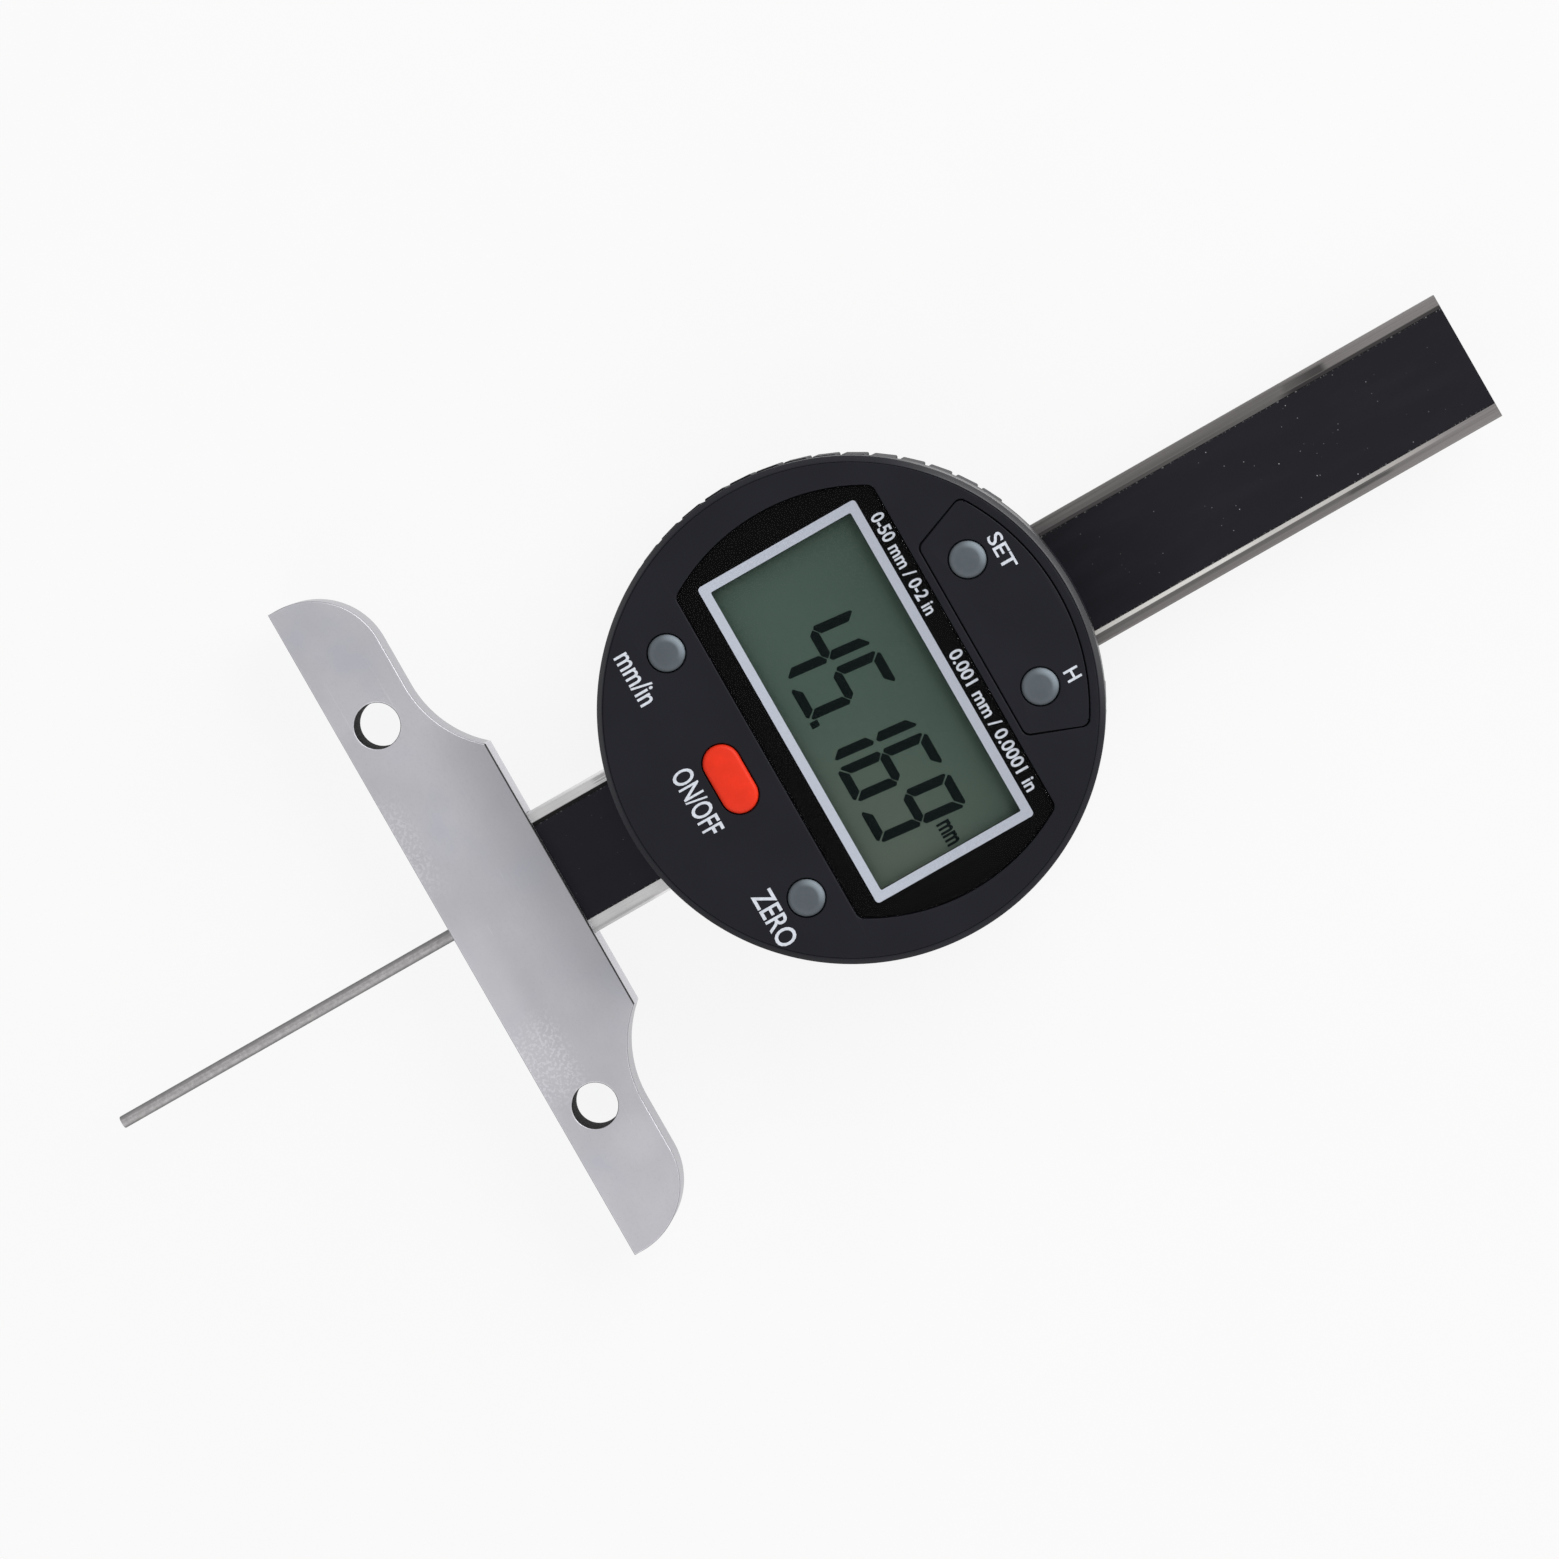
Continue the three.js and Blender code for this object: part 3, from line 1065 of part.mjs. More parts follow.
piece(head, "slider_frame", sliderFrameGeometry(), beamSteel());
piece(head, "gib_strip", gibStripGeometry(), brass());
GIB_SCREW_YS.forEach((y, i) => piece(head, "gib_screw_" + (i + 1), gibScrewGeometry(y), screwSteel()));
piece(head, "rear_plate", rearPlateGeometry(), beamSteel());
screwsAt(head, "rear_plate_screw", REAR_PLATE_SCREW_PLACES, REAR_PLATE_SCREW_LEVEL, () =>
  plateScrew(REAR_PLATE_SCREW_LENGTH));
piece(head, "rod_anchor", rodAnchorGeometry(), brass());
screwsAt(head, "rod_anchor_screw", [ANCHOR_PLACE], REAR_PLATE_SCREW_LEVEL, () =>
  plateScrew(ANCHOR_SCREW_LENGTH));
piece(head, "probe_rod", probeRodGeometry(), groundSteel());
piece(head, "reader_board", readerBoardGeometry(0, 0), circuitBoard());
piece(head, "board_connector", boardConnectorGeometry(), blackFilm());

piece(head, "case_ring", caseRingGeometry(), housing());
piece(head, "rear_cover", rearCoverGeometry(), housing());
screwsAt(head, "case_screw", BOSS_PLACES, CASE_SCREW_LEVEL, () => smallScrew(CASE_SCREW_LENGTH));
screwsAt(head, "slider_fixing_screw", SLIDER_FIXING_PLACES, SLIDER_FIXING_LEVEL, () =>
  smallScrew(SLIDER_FIXING_SCREW_LENGTH));
piece(head, "battery", batteryGeometry(), finish(0xc4c4c4, 0.25, 1));
piece(head, "battery_cap", batteryCapGeometry(), housing());
piece(head, "battery_top_contact", topContactGeometry(), brass());
piece(head, "battery_side_contact", sideContactGeometry(), brass());

piece(head, "main_board", mainBoardGeometry(), circuitBoard());
piece(head, "lcd_holder", lcdHolderGeometry(), finish(0xe6e6e2, 0.6, 0));
ZEBRA_CENTRES.forEach((y, i) => piece(head, "zebra_strip_" + (i + 1), zebraStripGeometry(y), rubber()));
piece(head, "lcd_reflector", lcdReflectorGeometry(), finish(0xcdd2cc, 0.3, 0));
piece(head, "lcd_glass", lcdGlassGeometry(), finish(0x4c5b52, 0.15, 0));
piece(head, "window", plate(windowOutline(0), WINDOW_BACK, WINDOW_FRONT), finish(0x08080a, 0.1, 0));
piece(head, "bezel", bezelGeometry(), housing());
piece(head, "key_panel", keyPanelGeometry(), housing());
piece(head, "lower_key_pad", padGeometry([...LOWER_KEYS, POWER_KEY]), rubber());
piece(head, "upper_key_pad", padGeometry(UPPER_KEYS), rubber());
for (const [name, [x, y]] of Object.entries(ROUND_KEYS)) {
  piece(head, name, roundKeyGeometry(), greyKey()).position.set(x, y, 0);
}
piece(head, "power_key", powerKeyGeometry(), finish(0xf03a20, 0.45, 0)).position.set(...POWER_KEY, 0);

export default gauge;
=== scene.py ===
"""Digital depth gauge: the looks of the part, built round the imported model.

Sizes and places are in millimetres, and meshes are stored in metres. X runs along the base, Y along the
beam and away from the work, Z out of the display.
"""
import math

import bmesh
import bpy
from bpy.props import FloatProperty, FloatVectorProperty, IntProperty, PointerProperty, StringProperty
from mathutils import Matrix, Vector
from mathutils.geometry import tessellate_polygon


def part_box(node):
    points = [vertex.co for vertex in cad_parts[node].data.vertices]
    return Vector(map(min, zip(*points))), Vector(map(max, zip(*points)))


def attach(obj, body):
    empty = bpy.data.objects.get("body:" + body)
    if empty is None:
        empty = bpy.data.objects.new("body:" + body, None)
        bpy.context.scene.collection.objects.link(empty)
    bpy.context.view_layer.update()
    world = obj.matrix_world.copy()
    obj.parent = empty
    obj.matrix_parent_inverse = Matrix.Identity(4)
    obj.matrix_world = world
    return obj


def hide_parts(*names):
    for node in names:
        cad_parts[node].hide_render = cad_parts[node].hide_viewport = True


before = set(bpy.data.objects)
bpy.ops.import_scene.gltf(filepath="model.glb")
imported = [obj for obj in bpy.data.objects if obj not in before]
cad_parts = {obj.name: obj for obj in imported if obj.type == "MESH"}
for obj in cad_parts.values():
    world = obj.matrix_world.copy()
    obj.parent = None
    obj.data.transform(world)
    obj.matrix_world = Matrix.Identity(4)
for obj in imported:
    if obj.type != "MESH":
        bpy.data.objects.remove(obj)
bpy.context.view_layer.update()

bl_info = {
    "name": "Digital depth gauge",
    "version": (1, 0, 0),
    "blender": (4, 5, 0),
    "location": "3D View > Sidebar > Gauge",
    "description": "Makes the pieces and finishes of a digital depth gauge on its packed model",
    "category": "Object",
}

MM = 0.001


def span(node):
    """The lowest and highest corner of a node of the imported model."""
    low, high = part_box(node)
    return low / MM, high / MM


def centre(node):
    """The middle of a node, seen from the front."""
    low, high = span(node)
    return ((low.x + high.x) / 2, (low.y + high.y) / 2)


def numbered(stem, count):
    """The names of like nodes, counted from 1."""
    return [f"{stem}_{i}" for i in range(1, count + 1)]


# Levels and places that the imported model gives
BASE_LOW, BASE_HIGH = span("base")
BEAM_LOW, BEAM_HIGH = span("beam")
HEAD_LOW, HEAD_HIGH = span("bezel")
CASE_LOW, CASE_HIGH = span("case_ring")
COVER_LOW, COVER_HIGH = span("rear_cover")
ROD_LOW, ROD_HIGH = span("probe_rod")
WINDOW_LOW, WINDOW_HIGH = span("window")
PANEL_LOW, PANEL_HIGH = span("key_panel")
LCD_HIGH = span("lcd_glass")[1]
BASE_TOP = BASE_HIGH.y
HEAD_Y = (HEAD_LOW.y + HEAD_HIGH.y) / 2
HEAD_RADIUS = (HEAD_HIGH.x - HEAD_LOW.x) / 2
HEAD_FRONT = HEAD_HIGH.z
WINDOW_Y = (WINDOW_LOW.y + WINDOW_HIGH.y) / 2
ROD_RADIUS = (ROD_HIGH.x - ROD_LOW.x) / 2
ROD_LEVEL = (ROD_LOW.z + ROD_HIGH.z) / 2

# Sizes that several pieces share
CASE_RADIUS = 28.9
COVER_THICKNESS = 1.6
COVER_FRONT = COVER_LOW.z + COVER_THICKNESS
BOARD_REBATE_RADIUS = 27.6
KEY_RADIUS = 2.15
KEY_GAP = 0.14
KEY_FLANGE = 0.65
KEY_STEM_RADIUS = 1.5
KEY_STEM_LENGTH = 1.1
KEY_FLANGE_TOP = 1.9
POWER_KEY_LENGTH = 8.5
POWER_KEY_WIDTH = 4.4
SCREW_GAP = 0.1
BASE_SCREW_DIAMETER = 2.5
CASE_SCREW_DIAMETER = 2
PLATE_SCREW_DIAMETER = 1.6
OVERRUN = 1

# Like pieces
LOWER_KEYS = ("unit_key", "zero_key")
UPPER_KEYS = ("set_key", "hold_key")
BASE_SCREWS = numbered("base_screw", 2)
CASE_SCREWS = numbered("case_screw", 4)
FIXING_SCREWS = numbered("slider_fixing_screw", 2)


# Outlines: lists of points, counterclockwise
def arc(x, y, radius, start, end, count=24):
    """Points on an arc, both ends included; angles in degrees."""
    angles = [math.radians(start + (end - start) * i / count) for i in range(count + 1)]
    return [(x + radius * math.cos(a), y + radius * math.sin(a)) for a in angles]


def circle(x, y, radius, count=64):
    """A closed circle."""
    return arc(x, y, radius, 0, 360, count)[:-1]


def obround(x, y, length, width):
    """A level slot: two half circles joined by straight sides."""
    reach = (length - width) / 2
    return arc(x + reach, y, width / 2, -90, 90) + arc(x - reach, y, width / 2, 90, 270)


def rounded(points, count=6):
    """Turns each (x, y, fillet) into an arc tangent to its two sides; a fillet of 0 stays a corner."""
    result = []
    for i, (x, y, fillet) in enumerate(points):
        here = Vector((x, y))
        if not fillet:
            result.append((x, y))
            continue
        before = (Vector(points[i - 1][:2]) - here).normalized()
        after = (Vector(points[(i + 1) % len(points)][:2]) - here).normalized()
        half = before.angle(after) / 2
        middle = here + (before + after).normalized() * (fillet / math.sin(half))
        start = here + before * (fillet / math.tan(half)) - middle
        end = here + after * (fillet / math.tan(half)) - middle
        turn = start.angle_signed(end)
        for step in range(count + 1):
            spoke = start.copy()
            spoke.rotate(Matrix.Rotation(-turn * step / count, 2))
            result.append(tuple(middle + spoke))
    return result


def rectangle(x0, y0, x1, y1, fillet=0):
    """A level rectangle with filleted corners."""
    return rounded([(x0, y0, fillet), (x1, y0, fillet), (x1, y1, fillet), (x0, y1, fillet)])


def area(points):
    """The signed area of an outline: positive where it runs counterclockwise."""
    pairs = zip(points, points[1:] + points[:1])
    return sum(a[0] * b[1] - b[0] * a[1] for a, b in pairs) / 2


def inset(points, distance):
    """The outline moved to its own left by a distance, which grows at a corner up to a limit."""
    if not distance:
        return list(points)
    least_share = 0.2
    result = []
    for i, point in enumerate(points):
        here = Vector(point)
        before = (here - Vector(points[i - 1])).normalized()
        after = (Vector(points[(i + 1) % len(points)]) - here).normalized()
        left = Vector((-before.y, before.x)) + Vector((-after.y, after.x))
        result.append(tuple(here + left * (distance / max(1 + before.dot(after), least_share))))
    return result


def round_edge(radius, count=4):
    """Steps of a rounded edge, from the wall to the face: how far in, how far down."""
    angles = [math.pi / 2 * i / count for i in range(count + 1)]
    return [(radius * (1 - math.cos(a)), radius * (1 - math.sin(a))) for a in angles]


def chamfer(size, soften=0.05):
    """Steps of a chamfer whose two edges are slightly softened."""
    near_share = 0.6
    return [(0, size + soften), (soften * near_share, size - soften), (size - soften, soften * near_share),
            (size + soften, 0)]


# Solids, added to a mesh that is being built
def join_rings(mesh, lower, upper):
    """Closes the strip between two rings that run counterclockwise."""
    for i, vertex in enumerate(lower):
        j = (i + 1) % len(lower)
        mesh.faces.new((vertex, lower[j], upper[j], upper[i]))


def cap(mesh, rings, up):
    """Fills a flat face whose first ring is its outline and whose others are holes."""
    no_area = 1e-12
    loops = [[vertex.co.copy() for vertex in ring] for ring in rings]
    flat = [vertex for ring in rings for vertex in ring]
    for a, b, c in tessellate_polygon(loops):
        turn = (flat[b].co - flat[a].co).cross(flat[c].co - flat[a].co).z
        if abs(turn) > no_area:
            corners = (flat[a], flat[b], flat[c]) if (turn > 0) == up else (flat[a], flat[c], flat[b])
            mesh.faces.new(corners)


def plate(mesh, outline, low, high, holes=(), top=((0, 0),), bottom=((0, 0),), crown=()):
    """A plate from an outline, with holes and with stepped edges at its front and back."""
    loops = [outline if area(outline) > 0 else outline[::-1]]
    loops += [hole[::-1] if area(hole) > 0 else hole for hole in holes]
    steps = [(away, low + rise) for away, rise in reversed(bottom)]
    steps += [(away, high - drop) for away, drop in [*top, *crown]]
    ends = []
    for loop in loops:
        rings = []
        for away, level in steps:
            ring = inset(loop, away)
            rings.append([mesh.verts.new((x, y, level)) for x, y in ring])
        for lower, upper in zip(rings, rings[1:]):
            join_rings(mesh, lower, upper)
        ends.append((rings[0], rings[-1]))
    cap(mesh, [first for first, _ in ends], up=False)
    cap(mesh, [last for _, last in ends], up=True)


def turned(mesh, profile, x=0, y=0, count=64, closed=False, along="Z", level=0):
    """A turned body. The profile lists radius and height with the material on its left."""
    def place(radius, height, angle):
        across, up = radius * math.cos(angle), radius * math.sin(angle)
        if along == "Y":
            return (x + across, y - height, level + up)
        return (x + across, y + up, level + height)

    angles = [2 * math.pi * i / count for i in range(count)]
    rings = []
    for radius, height in profile:
        around = angles if radius else angles[:1]
        rings.append([mesh.verts.new(place(radius, height, angle)) for angle in around])
    pairs = list(zip(rings, rings[1:]))
    if closed:
        pairs.append((rings[-1], rings[0]))
    for lower, upper in pairs:
        for i in range(count):
            j = (i + 1) % count
            low, high = len(lower), len(upper)
            corners = [lower[i % low], lower[j % low], upper[j % high], upper[i % high]]
            corners = list(dict.fromkeys(corners))
            if len(corners) > 2:
                mesh.faces.new(corners)


def tube(mesh, x, y, inner, outer, low, high, count):
    """An upright tube."""
    profile = [(inner, low), (outer, low), (outer, high), (inner, high)]
    turned(mesh, profile, x, y, count, closed=True)


def block(mesh, low, high):
    """A plain box, used as a cutter."""
    plate(mesh, rectangle(low[0], low[1], high[0], high[1]), low[2], high[2])


def countersink(mesh, node, diameter, depth):
    """The seat of a countersunk screw, used as a cutter at the screw's own place."""
    low, high = span(node)
    head, bore = (high.x - low.x) / 2 + SCREW_GAP, diameter / 2 + SCREW_GAP
    profile = [(0, -OVERRUN), (head, -OVERRUN), (head, 0), (bore, head - bore), (bore, depth), (0, depth)]
    turned(mesh, profile, *centre(node), 40, level=low.z)


# Objects
def linked(name, data):
    """A new object in the scene."""
    thing = bpy.data.objects.new(name, data)
    bpy.context.scene.collection.objects.link(thing)
    return thing


def shaped(name, build):
    """A new object from a function that fills a mesh."""
    mesh = bmesh.new()
    build(mesh)
    mesh.transform(Matrix.Scale(MM, 4))
    bmesh.ops.recalc_face_normals(mesh, faces=mesh.faces)
    data = bpy.data.meshes.new(name)
    mesh.to_mesh(data)
    mesh.free()
    return linked(name, data)


def baked(thing, name):
    """A plain copy of an object as its modifiers leave it; the object itself goes."""
    graph = bpy.context.evaluated_depsgraph_get()
    data = bpy.data.meshes.new_from_object(thing.evaluated_get(graph), depsgraph=graph)
    data.name = name
    bpy.data.objects.remove(thing)
    return linked(name, data)


def carved(thing, build):
    """Cuts away the solids that a function builds."""
    cutter = shaped("cutter", build)
    change = thing.modifiers.new("Cut", "BOOLEAN")
    change.operation = "DIFFERENCE"
    change.solver = "MANIFOLD"
    change.object = cutter
    result = baked(thing, thing.name)
    bpy.data.objects.remove(cutter)
    if not result.data.polygons:
        raise RuntimeError(result.name + " came out empty when it was cut")
    return result


def smoothed(thing, degrees=32):
    """Smooth shading that keeps flat faces flat."""
    thing.data.shade_smooth()
    thing.data.set_sharp_from_angle(angle=math.radians(degrees))
    weight = thing.modifiers.new("Even faces", "WEIGHTED_NORMAL")
    weight.keep_sharp = True
    weight.weight = 100
    return thing


def dressed(thing, finish):
    """Gives every face of an object one finish."""
    thing.data.materials.clear()
    thing.data.materials.append(finish)
    return thing


def placed(thing, body, slot, *nodes):
    """Hands a piece over to the frame."""
    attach(thing, body)
    if nodes:
        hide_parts(*nodes)
    return thing


def made(name, build, finish, body, slot, *nodes, cuts=(), degrees=32):
    """A piece from the function that builds it and those that cut it, finished and handed over."""
    piece = shaped(name, build)
    for cut in cuts:
        piece = carved(piece, cut)
    return placed(smoothed(dressed(piece, finish), degrees), body, slot, *nodes)


def written(name, words, low, high, level, finish, bold, depth):
    """Words as a thin mesh that fills a box from corner low to corner high."""
    same_place = 1e-7
    text = bpy.data.curves.new(name, "FONT")
    text.body = words
    text.extrude = 0.5
    text.offset = bold
    text.resolution_u = 4
    thing = baked(linked(name, text), name)
    points = [vertex.co for vertex in thing.data.vertices]
    least = [min(point[i] for point in points) for i in range(3)]
    most = [max(point[i] for point in points) for i in range(3)]
    spread = [most[i] - least[i] for i in range(3)]
    wanted = [high[0] - low[0], high[1] - low[1], depth]
    for vertex in thing.data.vertices:
        share = [(vertex.co[i] - least[i]) / spread[i] for i in range(3)]
        vertex.co = Vector([(start + part * size) * MM for start, part, size
                            in zip((low[0], low[1], level), share, wanted)])
    mesh = bmesh.new()
    mesh.from_mesh(thing.data)
    bmesh.ops.remove_doubles(mesh, verts=mesh.verts, dist=same_place)
    bmesh.ops.recalc_face_normals(mesh, faces=mesh.faces)
    mesh.to_mesh(thing.data)
    mesh.free()
    return dressed(thing, finish)


# Node trees
class Link:
    """An output of a node that can be added, multiplied and compared like a number."""

    def __init__(self, wiring, socket):
        self.wiring = wiring
        self.socket = socket

    def math(self, operation, *values):
        """A maths node on the values."""
        return self.wiring.node("ShaderNodeMath", {"operation": operation}, dict(enumerate(values)))

    def __add__(self, other):
        return self.math("ADD", self, other)

    def __sub__(self, other):
        return self.math("SUBTRACT", self, other)

    def __rsub__(self, other):
        return self.math("SUBTRACT", other, self)

    def __mul__(self, other):
        return self.math("MULTIPLY", self, other)

    def __truediv__(self, other):
        return self.math("DIVIDE", self, other)

    def __pow__(self, other):
        return self.math("POWER", self, other)

    def __gt__(self, other):
        return self.math("GREATER_THAN", self, other)

    def __lt__(self, other):
        return self.math("LESS_THAN", self, other)

    def __abs__(self):
        return self.math("ABSOLUTE", self)

    __radd__ = __add__
    __rmul__ = __mul__

    def most(self, other):
        """The larger of the two."""
        return self.math("MAXIMUM", self, other)

    def least(self, other):
        """The smaller of the two."""
        return self.math("MINIMUM", self, other)

    def folded(self, top):
        """Runs up and down again and again between 0 and a top."""
        return self.math("PINGPONG", self, top)

    def output(self, name):
        """Another output of the same node."""
        return Link(self.wiring, self.socket.node.outputs[name])


class Wiring:
    """Makes the nodes of one tree."""

    def __init__(self, tree):
        self.tree = tree

    def node(self, kind, settings=None, inputs=None, output=0):
        """A node from its type, its settings and the values or links of its sockets."""
        new_node = self.tree.nodes.new(kind)
        for name, value in (settings or {}).items():
            setattr(new_node, name, value)
        for name, value in (inputs or {}).items():
            if isinstance(value, Link):
                self.tree.links.new(value.socket, new_node.inputs[name])
            else:
                new_node.inputs[name].default_value = value
        return Link(self, new_node.outputs[output]) if len(new_node.outputs) else new_node

    def between(self, value, zero, one, to_low=0.0, to_high=1.0):
        """Runs smoothly from to_low where the value is zero to to_high where it is one."""
        return self.node("ShaderNodeMapRange", {"interpolation_type": "SMOOTHSTEP"}, {
            0: value, 1: zero, 2: one, 3: to_low, 4: to_high})

    def seen(self):
        """1 for what the picture shows, straight, mirrored or through a pane, and 0 for light on things."""
        ray = self.node("ShaderNodeLightPath", output="Is Camera Ray")
        return ray.most(ray.output("Is Glossy Ray")).most(ray.output("Is Transmission Ray"))


def grey(value):
    """A grey as a colour."""
    return (value, value, value, 1)


def shade(colour, *factors):
    """A colour made lighter or darker, by one factor or by one for each of red, green and blue."""
    each = factors * 3 if len(factors) == 1 else factors
    return tuple(part * factor for part, factor in zip(colour, each)) + (1,)


class Finish(Wiring):
    """A procedural material on object coordinates. Its tone is laid on in coats, from the first to the
    last. The scale of a pattern counts its lumps in a metre."""

    def __init__(self, name, colour=None):
        self.material = bpy.data.materials.new(name)
        self.material.use_nodes = True
        super().__init__(self.material.node_tree)
        self.tree.nodes.clear()
        self.place = self.node("ShaderNodeTexCoord", output="Object")
        self.colour = colour
        self.tone = colour

    def noise(self, scale, detail=3.0, rough=0.55, vector=None):
        """A cloudy pattern from 0 to 1."""
        return self.node("ShaderNodeTexNoise", {}, {
            "Vector": vector or self.place, "Scale": scale, "Detail": detail, "Roughness": rough})

    def lines(self, scales, detail=2, rough=0.6, turn=0.0, shift=(0, 0, 0)):
        """The same with a scale for each axis, turned about Z and moved."""
        vector = self.node("ShaderNodeMapping", {}, {
            "Vector": self.place, "Scale": scales, "Rotation": (0, 0, turn), "Location": shift})
        return self.noise(1, detail, rough, vector)

    def specks(self, scale, size, share):
        """Small dots: 1 in a dot and 0 outside; share is the part of the cells that have one."""
        cell = self.node("ShaderNodeTexVoronoi", {}, {"Vector": self.place, "Scale": scale})
        dot = self.between(cell, size, size * 0.5)
        pick = self.node("ShaderNodeSeparateColor", {}, {0: cell.output("Color")})
        return dot * (pick < share)

    def axis(self, name):
        """One object coordinate in millimetres."""
        return self.node("ShaderNodeSeparateXYZ", {}, {0: self.place}, output=name) / MM

    def away(self, x, y):
        """Distance in millimetres from an upright axis."""
        flat = self.node("ShaderNodeCombineXYZ", {}, {"X": self.axis("X") - x, "Y": self.axis("Y") - y})
        return self.node("ShaderNodeVectorMath", {"operation": "LENGTH"}, {0: flat}, output="Value")

    def towards(self, x, y, degrees):
        """How far a place lies in a direction, counted from an upright axis."""
        angle = math.radians(degrees)
        return (self.axis("X") - x) * math.cos(angle) + (self.axis("Y") - y) * math.sin(angle)

    def band(self, value, low, high, soft):
        """1 between two values and 0 outside, with soft ends."""
        rise = self.between(value, low - soft, low + soft)
        return rise * self.between(value, high + soft, high - soft)

    def patch(self, mark, x=None, y=None):
        """1 on a mark, which is (low, high, soft) along X and the same along Y, and 0 outside."""
        across, along = mark
        return self.band(x or self.axis("X"), *across) * self.band(y or self.axis("Y"), *along)

    def sides(self, level=0.75, upright=0.45):
        """1 on walls that stand upright and 0 on level faces; the two values say where it changes."""
        normal = self.node("ShaderNodeNewGeometry", output="Normal")
        height = self.node("ShaderNodeSeparateXYZ", {}, {0: normal}, output="Z")
        return self.between(abs(height), level, upright)

    def mix(self, factor, first, second):
        """Blends two colours."""
        return self.node("ShaderNodeMix", {"data_type": "RGBA"}, {0: factor, 6: first, 7: second}, output=2)

    def coat(self, mask, colour):
        """Lays a colour over the tone so far, as much as the mask says."""
        self.tone = self.mix(mask, self.tone, colour)

    def tint(self, mask, factor):
        """Lays on the finish's own colour, made lighter or darker."""
        self.coat(mask, shade(self.colour, factor))

    def mottle(self, pattern, dark, light, start=0.3, stop=0.7):
        """Begins the tone with two shades of the finish's own colour, in the patches of a pattern."""
        first, second = shade(self.colour, dark), shade(self.colour, light)
        self.tone = self.mix(self.between(pattern, start, stop), first, second)

    def bump(self, height, strength, depth=0.01):
        """A bumped normal from a height; the depth is in millimetres."""
        return self.node("ShaderNodeBump", {}, {
            "Height": height, "Strength": strength, "Distance": depth * MM})

    def surface(self, **inputs):
        """Ends the material in a principled shader with the tone so far."""
        named = {name.replace("_", " "): value for name, value in inputs.items()}
        return self.shown(self.node("ShaderNodeBsdfPrincipled", {}, {"Base Color": self.tone, **named}))

    def shown(self, shader):
        """Ends the material in a given shader."""
        self.node("ShaderNodeOutputMaterial", {}, {"Surface": shader})
        return self.material


# Finishes. A rise or fade is (nothing at, full at), a band (low, high, soft) and a mark a band each way
def base_steel(name, colour, holes, hole_radius):
    """The base's ground steel: cloudy, bluish in places, with rubbed marks, a painted reflection of the head
    near the land, painted shade on its walls, chamfers, land edge and dark hole walls, and painted light on
    the land's top wall.
    """
    reflection_rise, reflection_x, reflection_fade = (5.5, 14.7), -3, (23, 14)
    right_rub = (13.5, 23, 2.5), (-1, 5.2, 1.6)
    left_rub = (-17, -6, 3), (-1, 2.4, 1.2)
    bright_foot = (0, 20, 5), (-1, 3.6, 1.6)
    smear, smear_fade = (31, 7.4), (4.2, 1.2)
    lip_height = BASE_TOP - 0.18, BASE_TOP + 0.1, 0.03
    lip_rise = BASE_HIGH.z - 0.32, BASE_HIGH.z - 0.2
    top_rise = BASE_TOP - 0.35, BASE_TOP - 0.05
    wall_fade = hole_radius + 0.06, hole_radius + 0.02
    ragged = 4
    steel = Finish(name, colour)
    x, y, z = (steel.axis(letter) for letter in "XYZ")
    fine = steel.lines((160, 7000, 7000))
    cloud = steel.noise(42, 4, 0.6)
    wander = (cloud - 0.5) * ragged
    blue = steel.lines((110, 110, 110), 3, shift=(33, 11, 0))
    grit = steel.noise(2600, 2, 0.7)
    steel.mottle(cloud, 0.93, 1.07, stop=0.72)
    steel.coat(steel.between(blue, 0.5, 0.7) * 0.55, shade(colour, 0.9, 0.93, 1.02))
    steel.tint(steel.between(grit, 0.45, 0.8) * 0.22, 0.78)
    steel.tint(fine * 0.12, 0.7)
    # Darker towards the land's top edge: a painted reflection of the dark head, not dirt.
    head_reflection = steel.between(y + wander, *reflection_rise) * steel.between(abs(x - reflection_x), *reflection_fade)
    steel.tint(head_reflection * 0.46, 0.5)
    rubbed = steel.lines((2600, 2600, 900), 2, 0.5, turn=0.9)
    worn = steel.patch(right_rub).most(steel.patch(left_rub) * 0.7)
    steel.tint(steel.between(rubbed, 0.46, 0.62) * worn * 0.55, 1.35)
    steel.tint(steel.patch(bright_foot) * 0.3, 1.3)
    steel.tint(steel.between(steel.away(*smear) + wander, *smear_fade) * 0.2, 1.28)
    scratch = steel.between(steel.lines((60, 2400, 900), 1, 0.4, turn=0.35), 0.72, 0.75)
    broken = steel.between(steel.noise(140, 2), 0.55, 0.62)
    steel.tint(scratch * broken * 0.3, 1.25)
    # Walls and chamfers darker, the land's top wall lighter again: painted shade and painted light.
    side = steel.sides(0.5, 0.3)
    steel.tint(steel.sides(0.97, 0.85), 0.5)
    steel.tint(side, 0.76)
    steel.tint(side * steel.between(y, *top_rise), 1.12)
    # A near-black line along the land's front edge: painted shade.
    lip = steel.band(y, *lip_height) * steel.between(z, *lip_rise)
    steel.coat(lip * 0.95, grey(0.03))
    # Hole walls near-black and not metal: painted shade, over the real tool marks.
    wall = steel.between(steel.away(*holes[0]).least(steel.away(*holes[1])), *wall_fade)
    tool_marks = steel.lines((1500, 1500, 5200), 2, 0.7)
    steel.coat(wall, steel.mix(steel.between(tool_marks, 0.4, 0.75), grey(0.004), grey(0.022)))
    return steel.surface(
        Metallic=1 - wall,
        Roughness=0.38 + fine * 0.06 + cloud * 0.05 + wall * 0.35,
        Normal=steel.bump(fine + grit * 0.5 + tool_marks * wall * 6, 0.25, 0.006),
        Specular_IOR_Level=0.15,
    )


